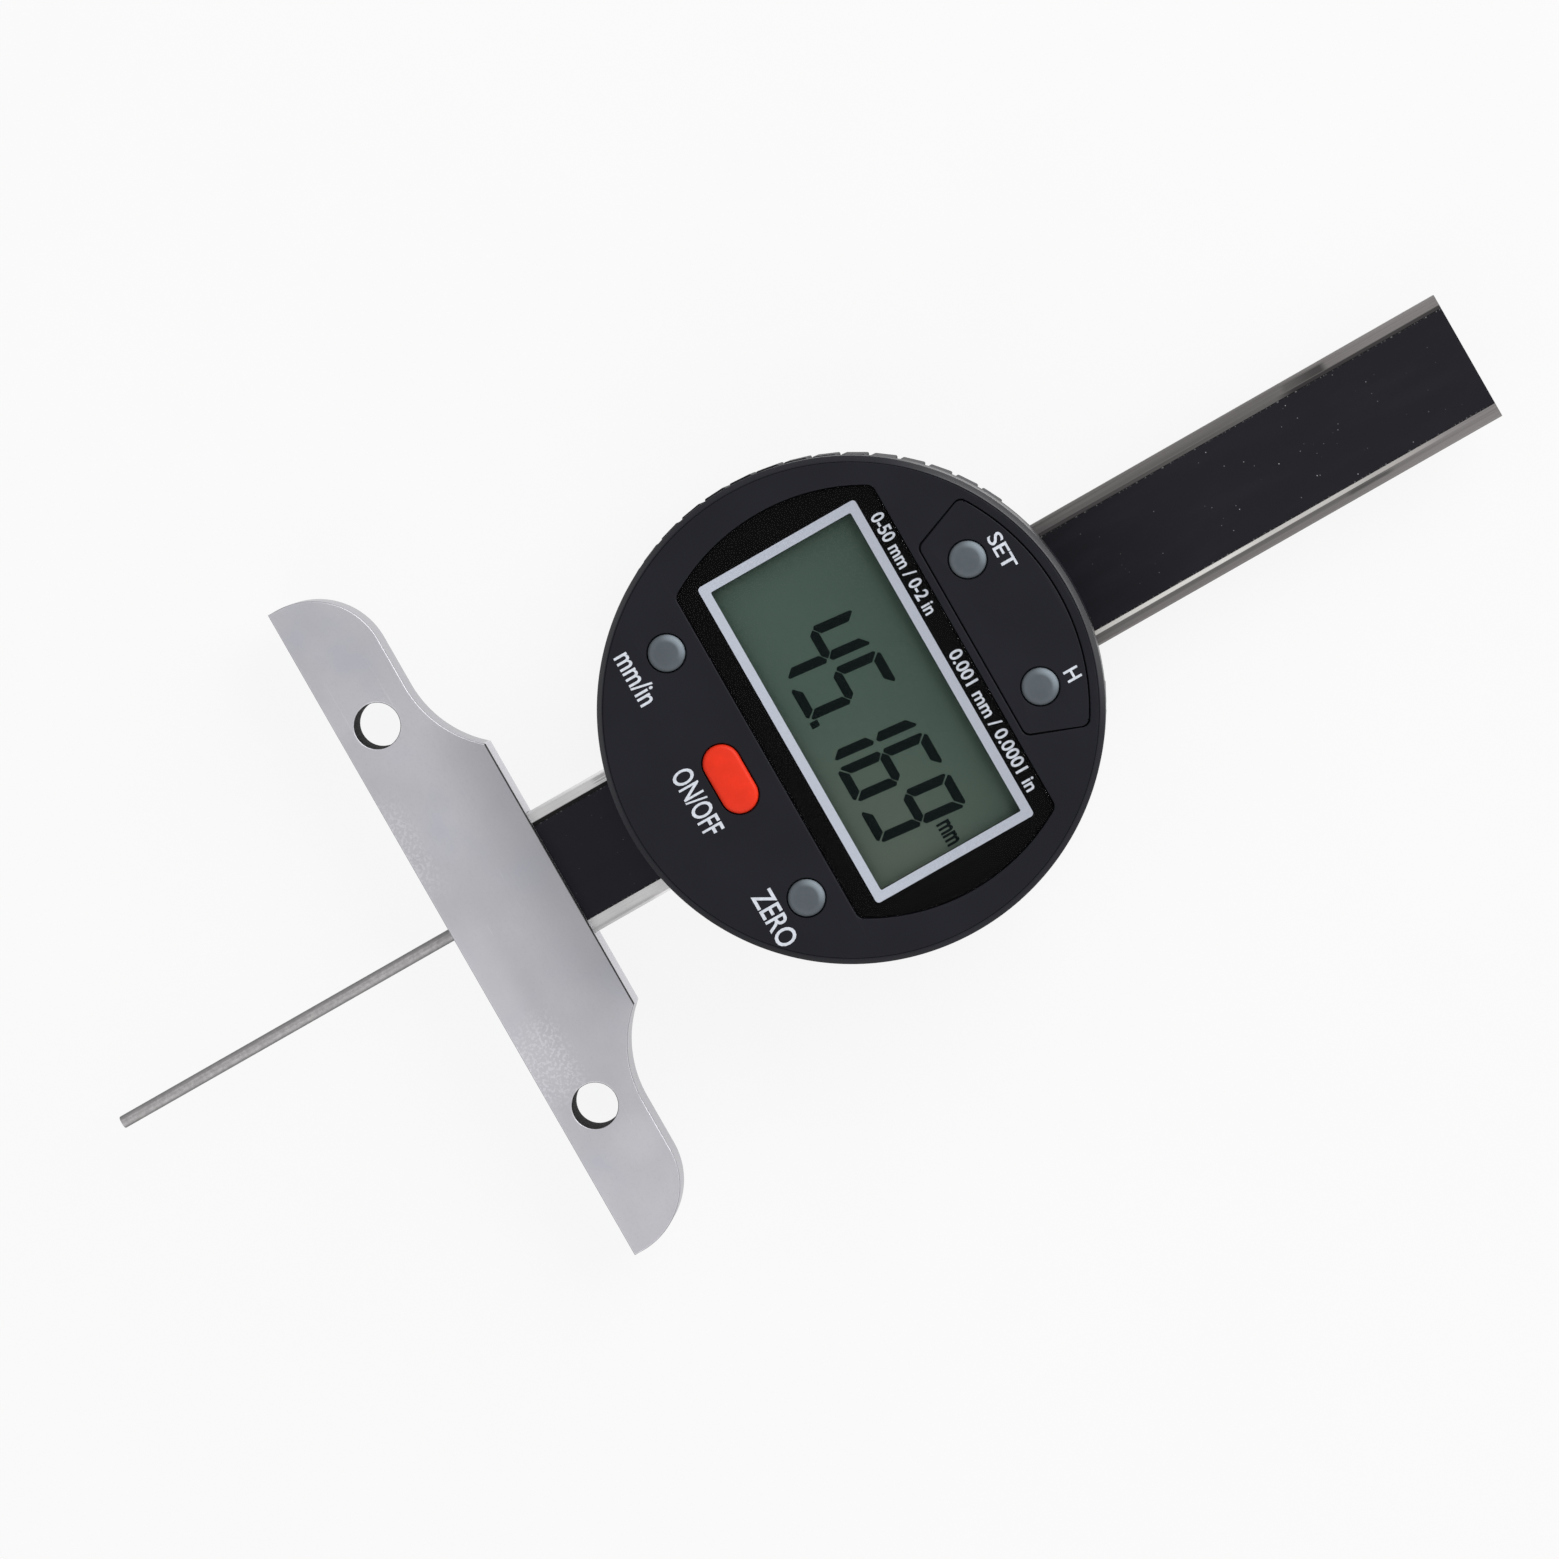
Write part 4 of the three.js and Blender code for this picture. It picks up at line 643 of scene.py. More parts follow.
def beam_steel(name, colour, far):
    """The beam's drawn steel: lines along its length, darkest above the head, rubbed patches, a painted
    highlight along the film's right edge and painted light just below the head.
    """
    near_rise, far_rise, end_rise = (18, 22.5), (28, 82), (112, 131)
    left_streak = (-7.55, -6.9, 0.15), (90, 117, 5)
    right_edge = 7.3, 8.2, 0.1
    highlight_line = 6.28, 6.82, 0.05
    highlight_fade, highlight_dip = (140, 118), (100, 107)
    dark_line = -6.75, -6.25, 0.06
    dark_fade, dark_again = (86, 112), (113.5, 117)
    dull_rise, dull_height = (7.3, 7.6), (10, 23, 1.2)
    left_patch = (-7.75, -6.85, 0.12), (116.4, 121.8, 0.5)
    left_patch_rise = 115.5, 120
    right_patch = (6.95, 7.4, 0.12), (117.4, 122.8, 0.6)
    low_patch_across, low_patch_height = (6.95, 7.7, 0.2), (23.3, 25, 0.4)
    front_rise = BEAM_HIGH.z - 1.2, BEAM_HIGH.z - 0.6
    # The colour of the painted highlight along the film's right edge.
    pale = (0.8, 0.78, 0.75, 1)
    steel = Finish(name, far)
    x, y, z = (steel.axis(letter) for letter in "XYZ")
    fine = steel.lines((6200, 45, 6200), 3)
    broad = steel.lines((1700, 22, 1700), 2, 0.5)
    cloud = steel.noise(70)
    wander = (cloud - 0.5) * 0.4
    worn = (fine - 0.5) * 0.6 + wander
    along = steel.between(y, *far_rise)
    front = steel.between(z, *front_rise)
    # Lighter from 18 to 22.5 mm, just below the head: painted light that offsets the head's shade.
    steel.tone = steel.mix(steel.between(y, *near_rise), colour, shade(colour, 1.17))
    steel.coat(along, far)
    steel.tint(steel.between(y, *end_rise) * 0.9, 1.6)
    steel.tint(steel.between(fine, 0.35, 0.75) * (along * 0.3 + 0.1), 0.5)
    steel.tint(steel.between(broad, 0.45, 0.7) * along * 0.3, 1.6)
    steel.tint((steel.between(broad, 0.5, 0.35) * 0.4 + 0.15) * steel.patch(left_streak), 0.35)
    steel.tint(steel.band(x, *right_edge) * along * 0.4, 1.7)
    # A pale line along the film's right edge: a painted highlight on the pocket's edge.
    bright = steel.band(x, *highlight_line) * steel.between(y + cloud * 10, *highlight_fade, 0.05, 1.0)
    bright = bright * steel.between(y, *highlight_dip, 1.0, 0.72)
    steel.coat(bright * along * front, pale)
    fading = steel.between(along, 0, 1, 1.0, 0.62) * steel.between(y, *dark_fade, 1.0, 0.2)
    fading = fading.most(steel.between(y + wander, *dark_again) * 0.82)
    steel.tint(steel.band(x, *dark_line) * front * fading, 0.12)
    dull = steel.between(x, *dull_rise) * steel.band(y, *dull_height) * front
    steel.coat(dull * 0.35, shade(colour, 0.4))
    ragged = y + cloud * 2
    left = steel.patch(left_patch, x + worn, ragged)
    left = left * steel.between(y, *left_patch_rise, 0.45, 0.95)
    right = steel.patch(right_patch, x + worn, ragged)
    steel.tint(left.most(right * 0.6) * front, 0.4)
    low = steel.band(worn - x, *low_patch_across) * steel.band(y, *low_patch_height)
    steel.coat(low * steel.between(fine, 0.42, 0.6) * front * 0.6, far)
    return steel.surface(
        Metallic=1.0,
        Roughness=0.4 + fine * 0.14,
        Normal=steel.bump(fine + broad, 0.35, 0.012),
    )


def rod_steel(name, colour):
    """The rod's drawn steel: mottled, with painted shade along both flanks."""
    flank_rise, right_rise, left_rise = (0.45, 0.7), (-0.1, 0.4), (-0.2, -0.4)
    steel = Finish(name, colour)
    x = steel.axis("X")
    fine = steel.lines((3000, 300, 3000))
    spots = steel.noise(1700, 3, 0.65)
    steel.mottle(spots, 0.98, 1.26, start=0.35)
    steel.tint(fine * 0.2, 0.6)
    # Painted shade: darker towards both flanks of the round rod, most on the left.
    steel.tint(steel.between(abs(x), *flank_rise) * 0.7, 0.42)
    steel.tint(steel.between(x, *right_rise) * 0.2, 0.2)
    steel.tint(steel.between(x, *left_rise) * 0.58, 0.4)
    return steel.surface(
        Metallic=1.0,
        Roughness=0.46 + fine * 0.12,
        Normal=steel.bump(fine + spots, 0.2, 0.008),
    )


def slider_steel(name, colour):
    """Satin ground steel: fine lines along the beam over a cloudy tone."""
    steel = Finish(name, colour)
    fine = steel.lines((9000, 120, 9000))
    cloud = steel.noise(55)
    steel.mottle(cloud, 0.95, 1.05)
    steel.tint(fine * 0.16, 0.65)
    return steel.surface(
        Metallic=1.0,
        Roughness=0.4 + fine * 0.1 + cloud * 0.05,
        Normal=steel.bump(fine, 0.25, 0.006),
    )


def plain_metal(name, colour, roughness=0.35):
    """Small bright metal pieces: brass, screws, the cell's can."""
    metal = Finish(name, colour)
    fine = metal.noise(2600)
    metal.mottle(metal.noise(300, 2), 0.88, 1.06)
    return metal.surface(Metallic=1.0, Roughness=roughness + fine * 0.12, Normal=metal.bump(fine, 0.15))


def black_film(name, colour):
    """The scale's black film: satin, with faint rubbed lines and specks of dust, ragged at its edges, and
    painted light towards the head.
    """
    near_rise, mid_rise, far_rise = (16, 23), (30, 84), (86, 100)
    dust_height = 92, 126, 8
    edge_rise = 6.1, 6.3
    film = Finish(name, colour)
    y = film.axis("Y")
    rub = film.lines((420, 90, 420), 2, 0.5, turn=0.5)
    dust = film.specks(900, 0.075, 0.24).most(film.specks(1700, 0.13, 0.12) * 0.5)
    dust = dust * film.band(y, *dust_height).most(0.25)
    # Lighter from 16 to 23 mm, towards the head: painted light that offsets the head's shade.
    film.tone = film.mix(film.between(y, *near_rise), shade(colour, 1.55), shade(colour, 1.95))
    film.tint(film.between(y, *mid_rise), 0.76)
    film.tint(film.between(y, *far_rise), 1)
    film.tint(film.between(rub, 0.4, 0.8) * 0.4, 1.4)
    film.coat(dust * 0.75, grey(0.5))
    nick = film.between(film.lines((300, 2600, 300)), 0.52, 0.7)
    film.coat(film.between(abs(film.axis("X")), *edge_rise) * nick * 0.7, grey(0.3))
    return film.surface(
        Roughness=0.46 + rub * 0.12,
        Normal=film.bump(rub + dust * 0.6, 0.2),
        Specular_IOR_Level=0.12,
    )


def moulded(name, colour, roughness=0.42, grain=0.12, rim=None):
    """Moulded plastic: a very fine grain and faint dust; its edge beyond the rim's radius has a gloss laid on
    as a painted highlight.
    """
    plastic = Finish(name, colour)
    pebble = plastic.noise(5200, 2, 0.5)
    cloud = plastic.noise(70)
    plastic.mottle(cloud, 0.9, 1.1, stop=0.75)
    plastic.coat(plastic.specks(260, 0.035, 0.06) * 0.35, grey(0.3))
    gloss = {"Coat_Weight": rim_gloss(plastic, rim), "Coat_Roughness": 0.3} if rim else {}
    return plastic.surface(
        Roughness=roughness + cloud * 0.06 + pebble * 0.05,
        Normal=plastic.bump(pebble, grain),
        Specular_IOR_Level=0.15,
        **gloss,
    )


def rim_gloss(plastic, rim):
    """The painted highlight of the bezel's edge: a gloss most at its far side, some at its lower left, less
    down its wall.
    """
    far_side, lower_left, soft = 100, 230, 0.1
    wall_rise = HEAD_FRONT - 1.7, HEAD_FRONT - 0.7
    away = plastic.away(0, HEAD_Y)
    # More gloss where the light falls on the rim: a painted highlight.
    lit = plastic.between(plastic.towards(0, HEAD_Y, far_side) / away, 0.7, 0.92)
    lit = lit.most(plastic.between(plastic.towards(0, HEAD_Y, lower_left) / away, 0.75, 1.0) * 0.4) + 0.07
    lit = lit * plastic.between(plastic.axis("Z"), *wall_rise, 0.4, 1.0)
    return plastic.between(away, rim, rim + soft) * lit


def key_plastic(name, colour, places=()):
    """A key's plastic: finer and a little glossier than the case, with a painted highlight at each key's far
    edge.
    """
    far_side, rim_rise, reach, least = 105, (1.2, 1.7), 2.5, 0.1
    plastic = Finish(name, colour)
    pebble = plastic.noise(4200, 2, 0.5)
    cloud = plastic.noise(420)
    plastic.mottle(cloud, 0.94, 1.07, stop=0.75)
    for x, y in places:
        away = plastic.away(x, y)
        rim = plastic.between(away, *rim_rise) * (away < reach)
        # Painted highlight, not wear: the rim paler towards the far side of each key.
        rubbed = plastic.between(plastic.towards(x, y, far_side) / (away + least), 0.1, 1.0) ** 1.5
        plastic.tint(rim * (rubbed * 0.8 + 0.06), 2.7)
    return plastic.surface(
        Roughness=0.42 + cloud * 0.08,
        Normal=plastic.bump(pebble, 0.1),
        Specular_IOR_Level=0.22,
    )


def black_print(name, colour):
    """The black print behind the window: deep and even, with a trace of grain."""
    ink = Finish(name, colour)
    grain = ink.noise(3000, 2)
    ink.tint(grain * 0.5, 1.6)
    return ink.surface(Roughness=0.5 + grain * 0.06, Specular_IOR_Level=0.05)


def silver_print(name, colour):
    """Silver ink: a bright grey with fine metal flakes, with painted reflection that makes it paler towards
    the base.
    """
    middle, low, high = HEAD_Y + 3.73, HEAD_Y - 9.27, HEAD_Y + 12.73
    ink = Finish(name, colour)
    flake = ink.noise(9000, 2, 0.6)
    ink.mottle(flake, 0.86, 1.1, stop=0.75)
    # Paler towards the base and darker above: painted reflection.
    ink.tint(ink.between(ink.axis("Y"), middle, low) * 0.6, 1.15)
    ink.tint(ink.between(ink.axis("Y"), middle, high) * 0.6, 0.87)
    return ink.surface(
        Metallic=0.18,
        Roughness=0.42 + ink.noise(160, 2) * 0.08,
        Normal=ink.bump(flake, 0.15, 0.006),
    )


def white_print(name, colour):
    """Pad-printed white: slightly uneven cover."""
    ink = Finish(name, colour)
    cover = ink.noise(2600)
    ink.mottle(cover, 0.84, 1, start=0.35)
    return ink.surface(Roughness=0.5 + cover * 0.1, Specular_IOR_Level=0.2)


def clear_pane(name):
    """A clear pane: see-through, with gloss that grows towards grazing angles."""
    pane = Finish(name)
    fresnel = pane.node("ShaderNodeFresnel", {}, {"IOR": 1.135})
    inside = pane.node("ShaderNodeNewGeometry", output="Backfacing")
    smear = pane.noise(90, 2)
    gloss = pane.node("ShaderNodeBsdfGlossy", {}, {"Color": grey(1), "Roughness": 0.04 + smear * 0.05})
    clear = pane.node("ShaderNodeBsdfTransparent", {}, {"Color": grey(0.97)})
    factor = fresnel * (1 - inside) * (1 - pane.sides())
    return pane.shown(pane.node("ShaderNodeMixShader", {}, {0: factor, 1: clear, 2: gloss}))


def display_glass(name, cool, warm):
    """The unlit display: grey-green to the left, warmer to the right, with painted shade at its edges."""
    warm_rise, lean, wander = (-5, 23), 0.35, 12
    dim_rise = HEAD_Y - 2.27, HEAD_Y + 9.73
    half_width, half_height, border = 19.9, 9.4, 1.2
    shadow_rise = -15.5, -20.5
    glass = Finish(name)
    x, y = glass.axis("X"), glass.axis("Y")
    drift = (glass.noise(60, 2) - 0.5) * wander
    glass.tone = glass.mix(glass.between(x + drift - (y - HEAD_Y) * lean, *warm_rise), cool, warm)
    glass.coat(glass.between(y, *dim_rise) * 0.7, shade(cool, 0.86))
    # Darker along its edges and more at its left end: painted shade from the window's print.
    inwards = (half_width - abs(x)).least(half_height - abs(y - WINDOW_Y))
    glass.coat(glass.between(inwards, border, 0) * 0.15, shade(cool, 0.45))
    glass.coat(glass.between(x, *shadow_rise) * 0.35, shade(cool, 0.6))
    flecks = glass.noise(5000, 2)
    glass.coat(glass.between(flecks, 0.35, 0.75) * 0.3, shade(warm, 1.12))
    return glass.surface(Roughness=0.4 + flecks * 0.1, Specular_IOR_Level=0.08)


def circuit_board(name, colour):
    """Solder mask over copper tracks, with tinned pads."""
    tin = (0.6, 0.58, 0.52, 1)
    board = Finish(name, colour)
    track = (board.axis("X") * 0.9 + board.noise(120, 1) * 4).folded(0.5) < 0.2
    copper = track * (board.noise(160, 1) > 0.5)
    pads = board.specks(520, 0.22, 0.25)
    board.tint(copper * 0.5, 1.9)
    board.tint(board.noise(3200, 2) * 0.25, 0.6)
    board.coat(pads, tin)
    return board.surface(
        Roughness=0.45 - pads * 0.12,
        Metallic=pads * 0.9,
        Normal=board.bump(copper + pads, 0.4, 0.03),
    )


def striped_rubber(name, dark, pale):
    """Conductive rubber strip: fine dark layers in pale silicone."""
    rubber = Finish(name)
    layers = (rubber.axis("X") * 10).folded(0.5)
    rubber.tone = rubber.mix(rubber.between(layers, 0.2, 0.3), dark, pale)
    return rubber.surface(Roughness=0.7 + rubber.noise(2500, 2) * 0.1)


def grained(name, colour, scale, tones, roughness, gain, strength):
    """A plain sheet with one grain in its tone, its gloss and its surface."""
    sheet = Finish(name)
    grain = sheet.noise(scale)
    sheet.tone = sheet.mix(grain, *(shade(colour, tone) for tone in tones))
    return sheet.surface(Roughness=roughness + grain * gain, Normal=sheet.bump(grain, strength))


def soft_rubber(name, colour):
    """Matt silicone rubber."""
    return grained(name, colour, 2200, (0.88, 1.1), 0.75, 0.12, 0.2)


def backing(name, colour, roughness):
    """White moulding and foil behind the display."""
    return grained(name, colour, 1800, (0.92, 1.04), roughness, 0.1, 0.12)


# Geometry Nodes: what repeats
def copies_tree(name):
    """Puts one source object on each point, turned by the point's own angle and a random one, and then
    slants the row."""
    tree = bpy.data.node_groups.new(name, "GeometryNodeTree")
    tree.interface.new_socket("Geometry", in_out="OUTPUT", socket_type="NodeSocketGeometry")
    kinds = {"Geometry": "Geometry", "Source": "Object", "Finish": "Material", "Random turn": "Float",
             "Seed": "Int", "Slant": "Float", "Middle": "Float"}
    for label, kind in kinds.items():
        tree.interface.new_socket(label, in_out="INPUT", socket_type="NodeSocket" + kind)
    wiring = Wiring(tree)
    given = wiring.node("NodeGroupInput", output="Geometry")
    source = wiring.node("GeometryNodeObjectInfo", {}, {"Object": given.output("Source")},
                         output="Geometry")
    own = wiring.node("GeometryNodeInputNamedAttribute", {"data_type": "FLOAT"}, {"Name": "turn"})
    chance = wiring.node("FunctionNodeRandomValue", {"data_type": "FLOAT"}, {
        2: 0.0, 3: given.output("Random turn"), "Seed": given.output("Seed")}, output=1)
    angle = wiring.node("ShaderNodeCombineXYZ", {}, {"Z": own + chance})
    turn = wiring.node("FunctionNodeEulerToRotation", {}, {0: angle})
    instances = wiring.node("GeometryNodeInstanceOnPoints", {}, {
        "Points": given, "Instance": source, "Rotation": turn})
    solid = wiring.node("GeometryNodeRealizeInstances", {}, {"Geometry": instances})
    at = wiring.node("GeometryNodeInputPosition")
    height = wiring.node("ShaderNodeSeparateXYZ", {}, {0: at}, output="Y") - given.output("Middle")
    move = wiring.node("ShaderNodeCombineXYZ", {}, {"X": height * given.output("Slant")})
    solid = wiring.node("GeometryNodeSetPosition", {}, {"Geometry": solid, "Offset": move})
    finish = given.output("Finish")
    solid = wiring.node("GeometryNodeSetMaterial", {}, {"Geometry": solid, "Material": finish})
    wiring.node("NodeGroupOutput", {}, {"Geometry": solid})
    return tree


def repeated(name, points, tree, build_source, **values):
    """A mesh of copies on points (x, y, z, turn); other values are given by the tree's input names."""
    data = bpy.data.meshes.new(name)
    data.from_pydata([tuple(part * MM for part in point[:3]) for point in points], [], [])
    layer = data.attributes.new("turn", "FLOAT", "POINT")
    layer.data.foreach_set("value", [point[3] for point in points])
    source = build_source()
    thing = linked(name, data)
    change = thing.modifiers.new("Copies", "NODES")
    change.node_group = tree
    named = {key.replace("_", " "): value for key, value in values.items()}
    named["Source"] = source
    for item in tree.interface.items_tree:
        if item.in_out == "INPUT" and item.name in named:
            change[item.identifier] = named[item.name]
    piece = baked(thing, name)
    bpy.data.objects.remove(source)
    return piece


def screw_mesh(diameter, head, length):
    """A countersunk screw on the origin, its head down, with a tapered cross recess."""
    edge, lip, tip = 0.1, 0.03, 0.2
    shank, cone = diameter / 2, (head - diameter) / 2
    reach, half, depth = head * 0.29, head * 0.065, head * 0.2
    flare, taper, before = -0.06, half * 0.45, -0.5

    def body(mesh):
        turned(mesh, [
            (0, 0), (head / 2 - edge, 0), (head / 2 - lip, lip), (head / 2, edge), (shank, cone + edge),
            (shank, length - tip), (shank - tip, length), (0, length),
        ], count=40)

    def recess(mesh):
        for turn in (0, 90):
            points = [(-reach, -half), (reach, -half), (reach, half), (-reach, half)]
            spin = Matrix.Rotation(math.radians(turn), 2)
            outline = [tuple(spin @ Vector(point)) for point in points]
            low = [mesh.verts.new((x, y, before)) for x, y in inset(outline, flare)]
            high = [mesh.verts.new((x, y, depth)) for x, y in inset(outline, taper)]
            join_rings(mesh, low, high)
            mesh.faces.new(high)
            mesh.faces.new(low[::-1])

    return carved(shaped("screw", body), recess)


def screws(name, nodes, diameter, finish, body, seed):
    """One mesh of like screws that stands for the named nodes, each turned by chance."""
    low, high = span(nodes[0])
    points = [(*centre(node), span(node)[0].z, 0.0) for node in nodes]
    piece = repeated(name, points, copies_tree(name),
                     lambda: screw_mesh(diameter, high.x - low.x, high.z - low.z),
                     Finish=finish, Random_turn=math.pi / 2, Seed=seed)
    return placed(smoothed(piece), body, "screw_steel", *nodes)


# Settings
def colour_property(name, description, default):
    """A colour that a user may change."""
    return FloatVectorProperty(name=name, description=description, default=default, size=4,
                               subtype="COLOR", min=0, max=1)


def length_property(name, description, default):
    """A length in metres that a user may change."""
    return FloatProperty(name=name, description=description, default=default, unit="LENGTH", min=0,
                         precision=5)


class GaugeFinishes(bpy.types.PropertyGroup):
    """Colours of the gauge."""
    steel: colour_property("Base steel", "Ground steel of the base", (0.62, 0.612, 0.65, 1))
    rod: colour_property("Rod steel", "Round steel of the measuring rod", (0.39, 0.38, 0.38, 1))
    beam: colour_property("Beam steel", "Beam steel near the base", (0.72, 0.712, 0.712, 1))
    beam_far: colour_property("Beam steel, far end", "Beam steel above the head", (0.172, 0.161, 0.161, 1))
    film: colour_property("Scale film", "Black film over the scale", (0.0115, 0.0107, 0.015, 1))
    case: colour_property("Housing", "Moulded case and bezel", (0.011, 0.0113, 0.0162, 1))
    window: colour_property("Window print", "Black print of the window", (0.0012, 0.0012, 0.0014, 1))
    silver: colour_property("Silver frame", "Printed frame round the display", (0.56, 0.6, 0.69, 1))
    legend: colour_property("Legends", "White print", (0.76, 0.8, 0.88, 1))
    cool: colour_property("Display, cool side", "Display glass to the left", (0.065, 0.107, 0.087, 1))
    warm: colour_property("Display, warm side", "Display glass to the right", (0.096, 0.123, 0.1, 1))
    segment: colour_property("Segments", "Dark segments of the display", (0.002, 0.005, 0.005, 1))
    key: colour_property("Grey keys", "Moulded grey keys", (0.097, 0.114, 0.128, 1))
    power: colour_property("Power key", "Moulded red key", (0.84, 0.034, 0.009, 1))
    slider: colour_property("Slider steel", "Ground steel of the slider", (0.5, 0.5, 0.5, 1))
    base_screw: colour_property("Base screws", "Steel of the base's screws", (0.5, 0.5, 0.52, 1))
    slider_screw: colour_property("Slider screws", "Steel of the slider's screws", (0.42, 0.42, 0.43, 1))
    case_screw: colour_property("Case screws", "Steel of the rear cover's screws", (0.45, 0.45, 0.47, 1))
    brass: colour_property("Brass", "Gib strip and rod anchor", (0.62, 0.42, 0.15, 1))
    contact: colour_property("Contact brass", "Contacts of the cell", (0.6, 0.42, 0.17, 1))
    board: colour_property("Circuit boards", "Solder mask in the head", (0.012, 0.085, 0.035, 1))
    scale_board: colour_property("Scale board", "Solder mask under the scale", (0.02, 0.09, 0.04, 1))
    rubber: colour_property("Key pads", "Silicone rubber under the keys", (0.14, 0.145, 0.155, 1))


class GaugeSizes(bpy.types.PropertyGroup):
    """Sizes that only the looks have."""
    base_chamfer: length_property("Base chamfer", "Chamfer round the base's front and back", 0.12 * MM)
    bezel_chamfer: length_property("Bezel chamfer", "Chamfer round the bezel's front", 0.6 * MM)
    rim_radius: length_property("Rim radius", "Rounding of the bezel's openings", 0.14 * MM)
    key_edge: length_property("Key edge", "Rounding of the keys' edges", 0.5 * MM)
    key_crown: length_property("Key crown", "How far the middle of a key rises", 0.12 * MM)
    frame_band: length_property("Frame band", "Width of the silver frame", 1.15 * MM)
    grip_edge: length_property("Grip edge", "Rounding of the finger grips", 0.15 * MM)
    grips: IntProperty(name="Grips", description="Finger grips on each side", default=20, min=2, max=24)


class GaugeWords(bpy.types.PropertyGroup):
    """What the display and the legends show."""
    reading: StringProperty(name="Reading", description="Number on the display, in millimetres",
                            default=f"{-ROD_LOW.y:.3f}")
    unit: StringProperty(name="Unit", description="Unit on the display", default="mm")
    range_note: StringProperty(name="Range note", description="Range beside the display",
                               default="0-50 mm / 0-2 in")
    step_note: StringProperty(name="Step note", description="Smallest step beside the display",
                              default="0.001 mm / 0.0001 in")


class GaugeStage(bpy.types.PropertyGroup):
    """Floor, lamps and camera."""
    floor: colour_property("Floor", "Pale floor and background", (0.97, 0.97, 0.97, 1))
    key_power: FloatProperty(name="Key lamp", description="Power of the large lamp", default=8.0,
                             unit="POWER", min=0)
    fill_power: FloatProperty(name="Fill lamp", description="Power of the small lamp", default=2.0,
                              unit="POWER", min=0)
    sky: FloatProperty(name="Sky", description="Strength of the even light from all round", default=0.5,
                       min=0)
    lens: FloatProperty(name="Lens", description="Focal length in millimetres", default=207.8255, min=10)


# Operators: one for each piece or group of like pieces
class MakeBase(bpy.types.Operator):
    """Base of ground steel with its fixing holes, the seat of the beam and the rod's bore"""
    bl_idname = "gauge.make_base"
    bl_label = "Base"

    def execute(self, context):
        choice = context.scene.gauge_finishes
        hole_radius, hole_reach, hole_height = 2.7, 25.55, 4.7
        places = [(-hole_reach, hole_height), (hole_reach, hole_height)]
        holes = [circle(x, y, hole_radius, 72) for x, y in places]
        edge = chamfer(context.scene.gauge_sizes.base_chamfer / MM)
        seat_gap, bore_gap, bore_end, screw_depth = 0.05, 0.1, 6, 6

        def body(mesh):
            plate(mesh, self.outline(), BASE_LOW.z, BASE_HIGH.z, holes, top=edge, bottom=edge)

        def seat(mesh):
            block(mesh, (BEAM_LOW.x - seat_gap, BEAM_LOW.y, BEAM_LOW.z - seat_gap),
                  (BEAM_HIGH.x + seat_gap, BASE_TOP + OVERRUN, BEAM_HIGH.z + seat_gap))

        def bores(mesh):
            bore = ROD_RADIUS + bore_gap
            turned(mesh, [(0, -bore_end), (bore, -bore_end), (bore, OVERRUN), (0, OVERRUN)],
                   count=48, along="Y", level=ROD_LEVEL)
            for node in BASE_SCREWS:
                countersink(mesh, node, BASE_SCREW_DIAMETER, screw_depth)

        made("ground_base", body, base_steel("Ground steel", choice.steel, places, hole_radius),
             "frame", "ground_steel", "base", cuts=(seat, bores))
        steel = plain_metal("Screw steel", choice.base_screw)
        screws("base_screws", BASE_SCREWS, BASE_SCREW_DIAMETER, steel, "frame", 5)
        return {"FINISHED"}

    def outline(self):
        """Rounded ends that sweep up to the raised land under the beam."""
        shoulder, end_start, neck_radius, neck_drop = 9.85, 1.05, 13.65, 6.4
        half = BASE_HIGH.x
        end_radius = shoulder - end_start
        neck_x = half - end_radius - neck_drop
        sweep = math.degrees(math.acos(1 - (BASE_TOP - shoulder) / neck_radius))
        right = [(half, 0)]
        right += arc(half - end_radius, end_start, end_radius, 0, 90, 40)
        right += arc(neck_x, shoulder + neck_radius, neck_radius, -90, -90 - sweep, 30)
        return right + [(-x, y) for x, y in reversed(right)]


class MakeBeam(bpy.types.Operator):
    """Finishes of the beam and its scale"""
    bl_idname = "gauge.make_beam"
    bl_label = "Beam"

    def execute(self, context):
        choice = context.scene.gauge_finishes
        dressed(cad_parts["beam"], beam_steel("Beam steel", choice.beam, choice.beam_far))
        dressed(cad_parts["scale_cover"], black_film("Scale film", choice.film))
        dressed(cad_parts["scale_board"], circuit_board("Scale board", choice.scale_board))
        return {"FINISHED"}


class MakeRod(bpy.types.Operator):
    """Measuring rod, ground round"""
    bl_idname = "gauge.make_rod"
    bl_label = "Rod"

    def execute(self, context):
        low, high = -ROD_LOW.y, -ROD_HIGH.y
        # Steps of the rounded tip: how far in, how far back
        steps = (0, 0.16), (0.04, 0.05), (0.12, 0)
        tip = [(ROD_RADIUS - away, low - back) for away, back in steps]

        def body(mesh):
            turned(mesh, [(0, high), (ROD_RADIUS, high), *tip, (0, low)], along="Y", level=ROD_LEVEL)

        finish = rod_steel("Rod steel", context.scene.gauge_finishes.rod)
        made("round_rod", body, finish, "head", "ground_steel", "probe_rod")
        return {"FINISHED"}


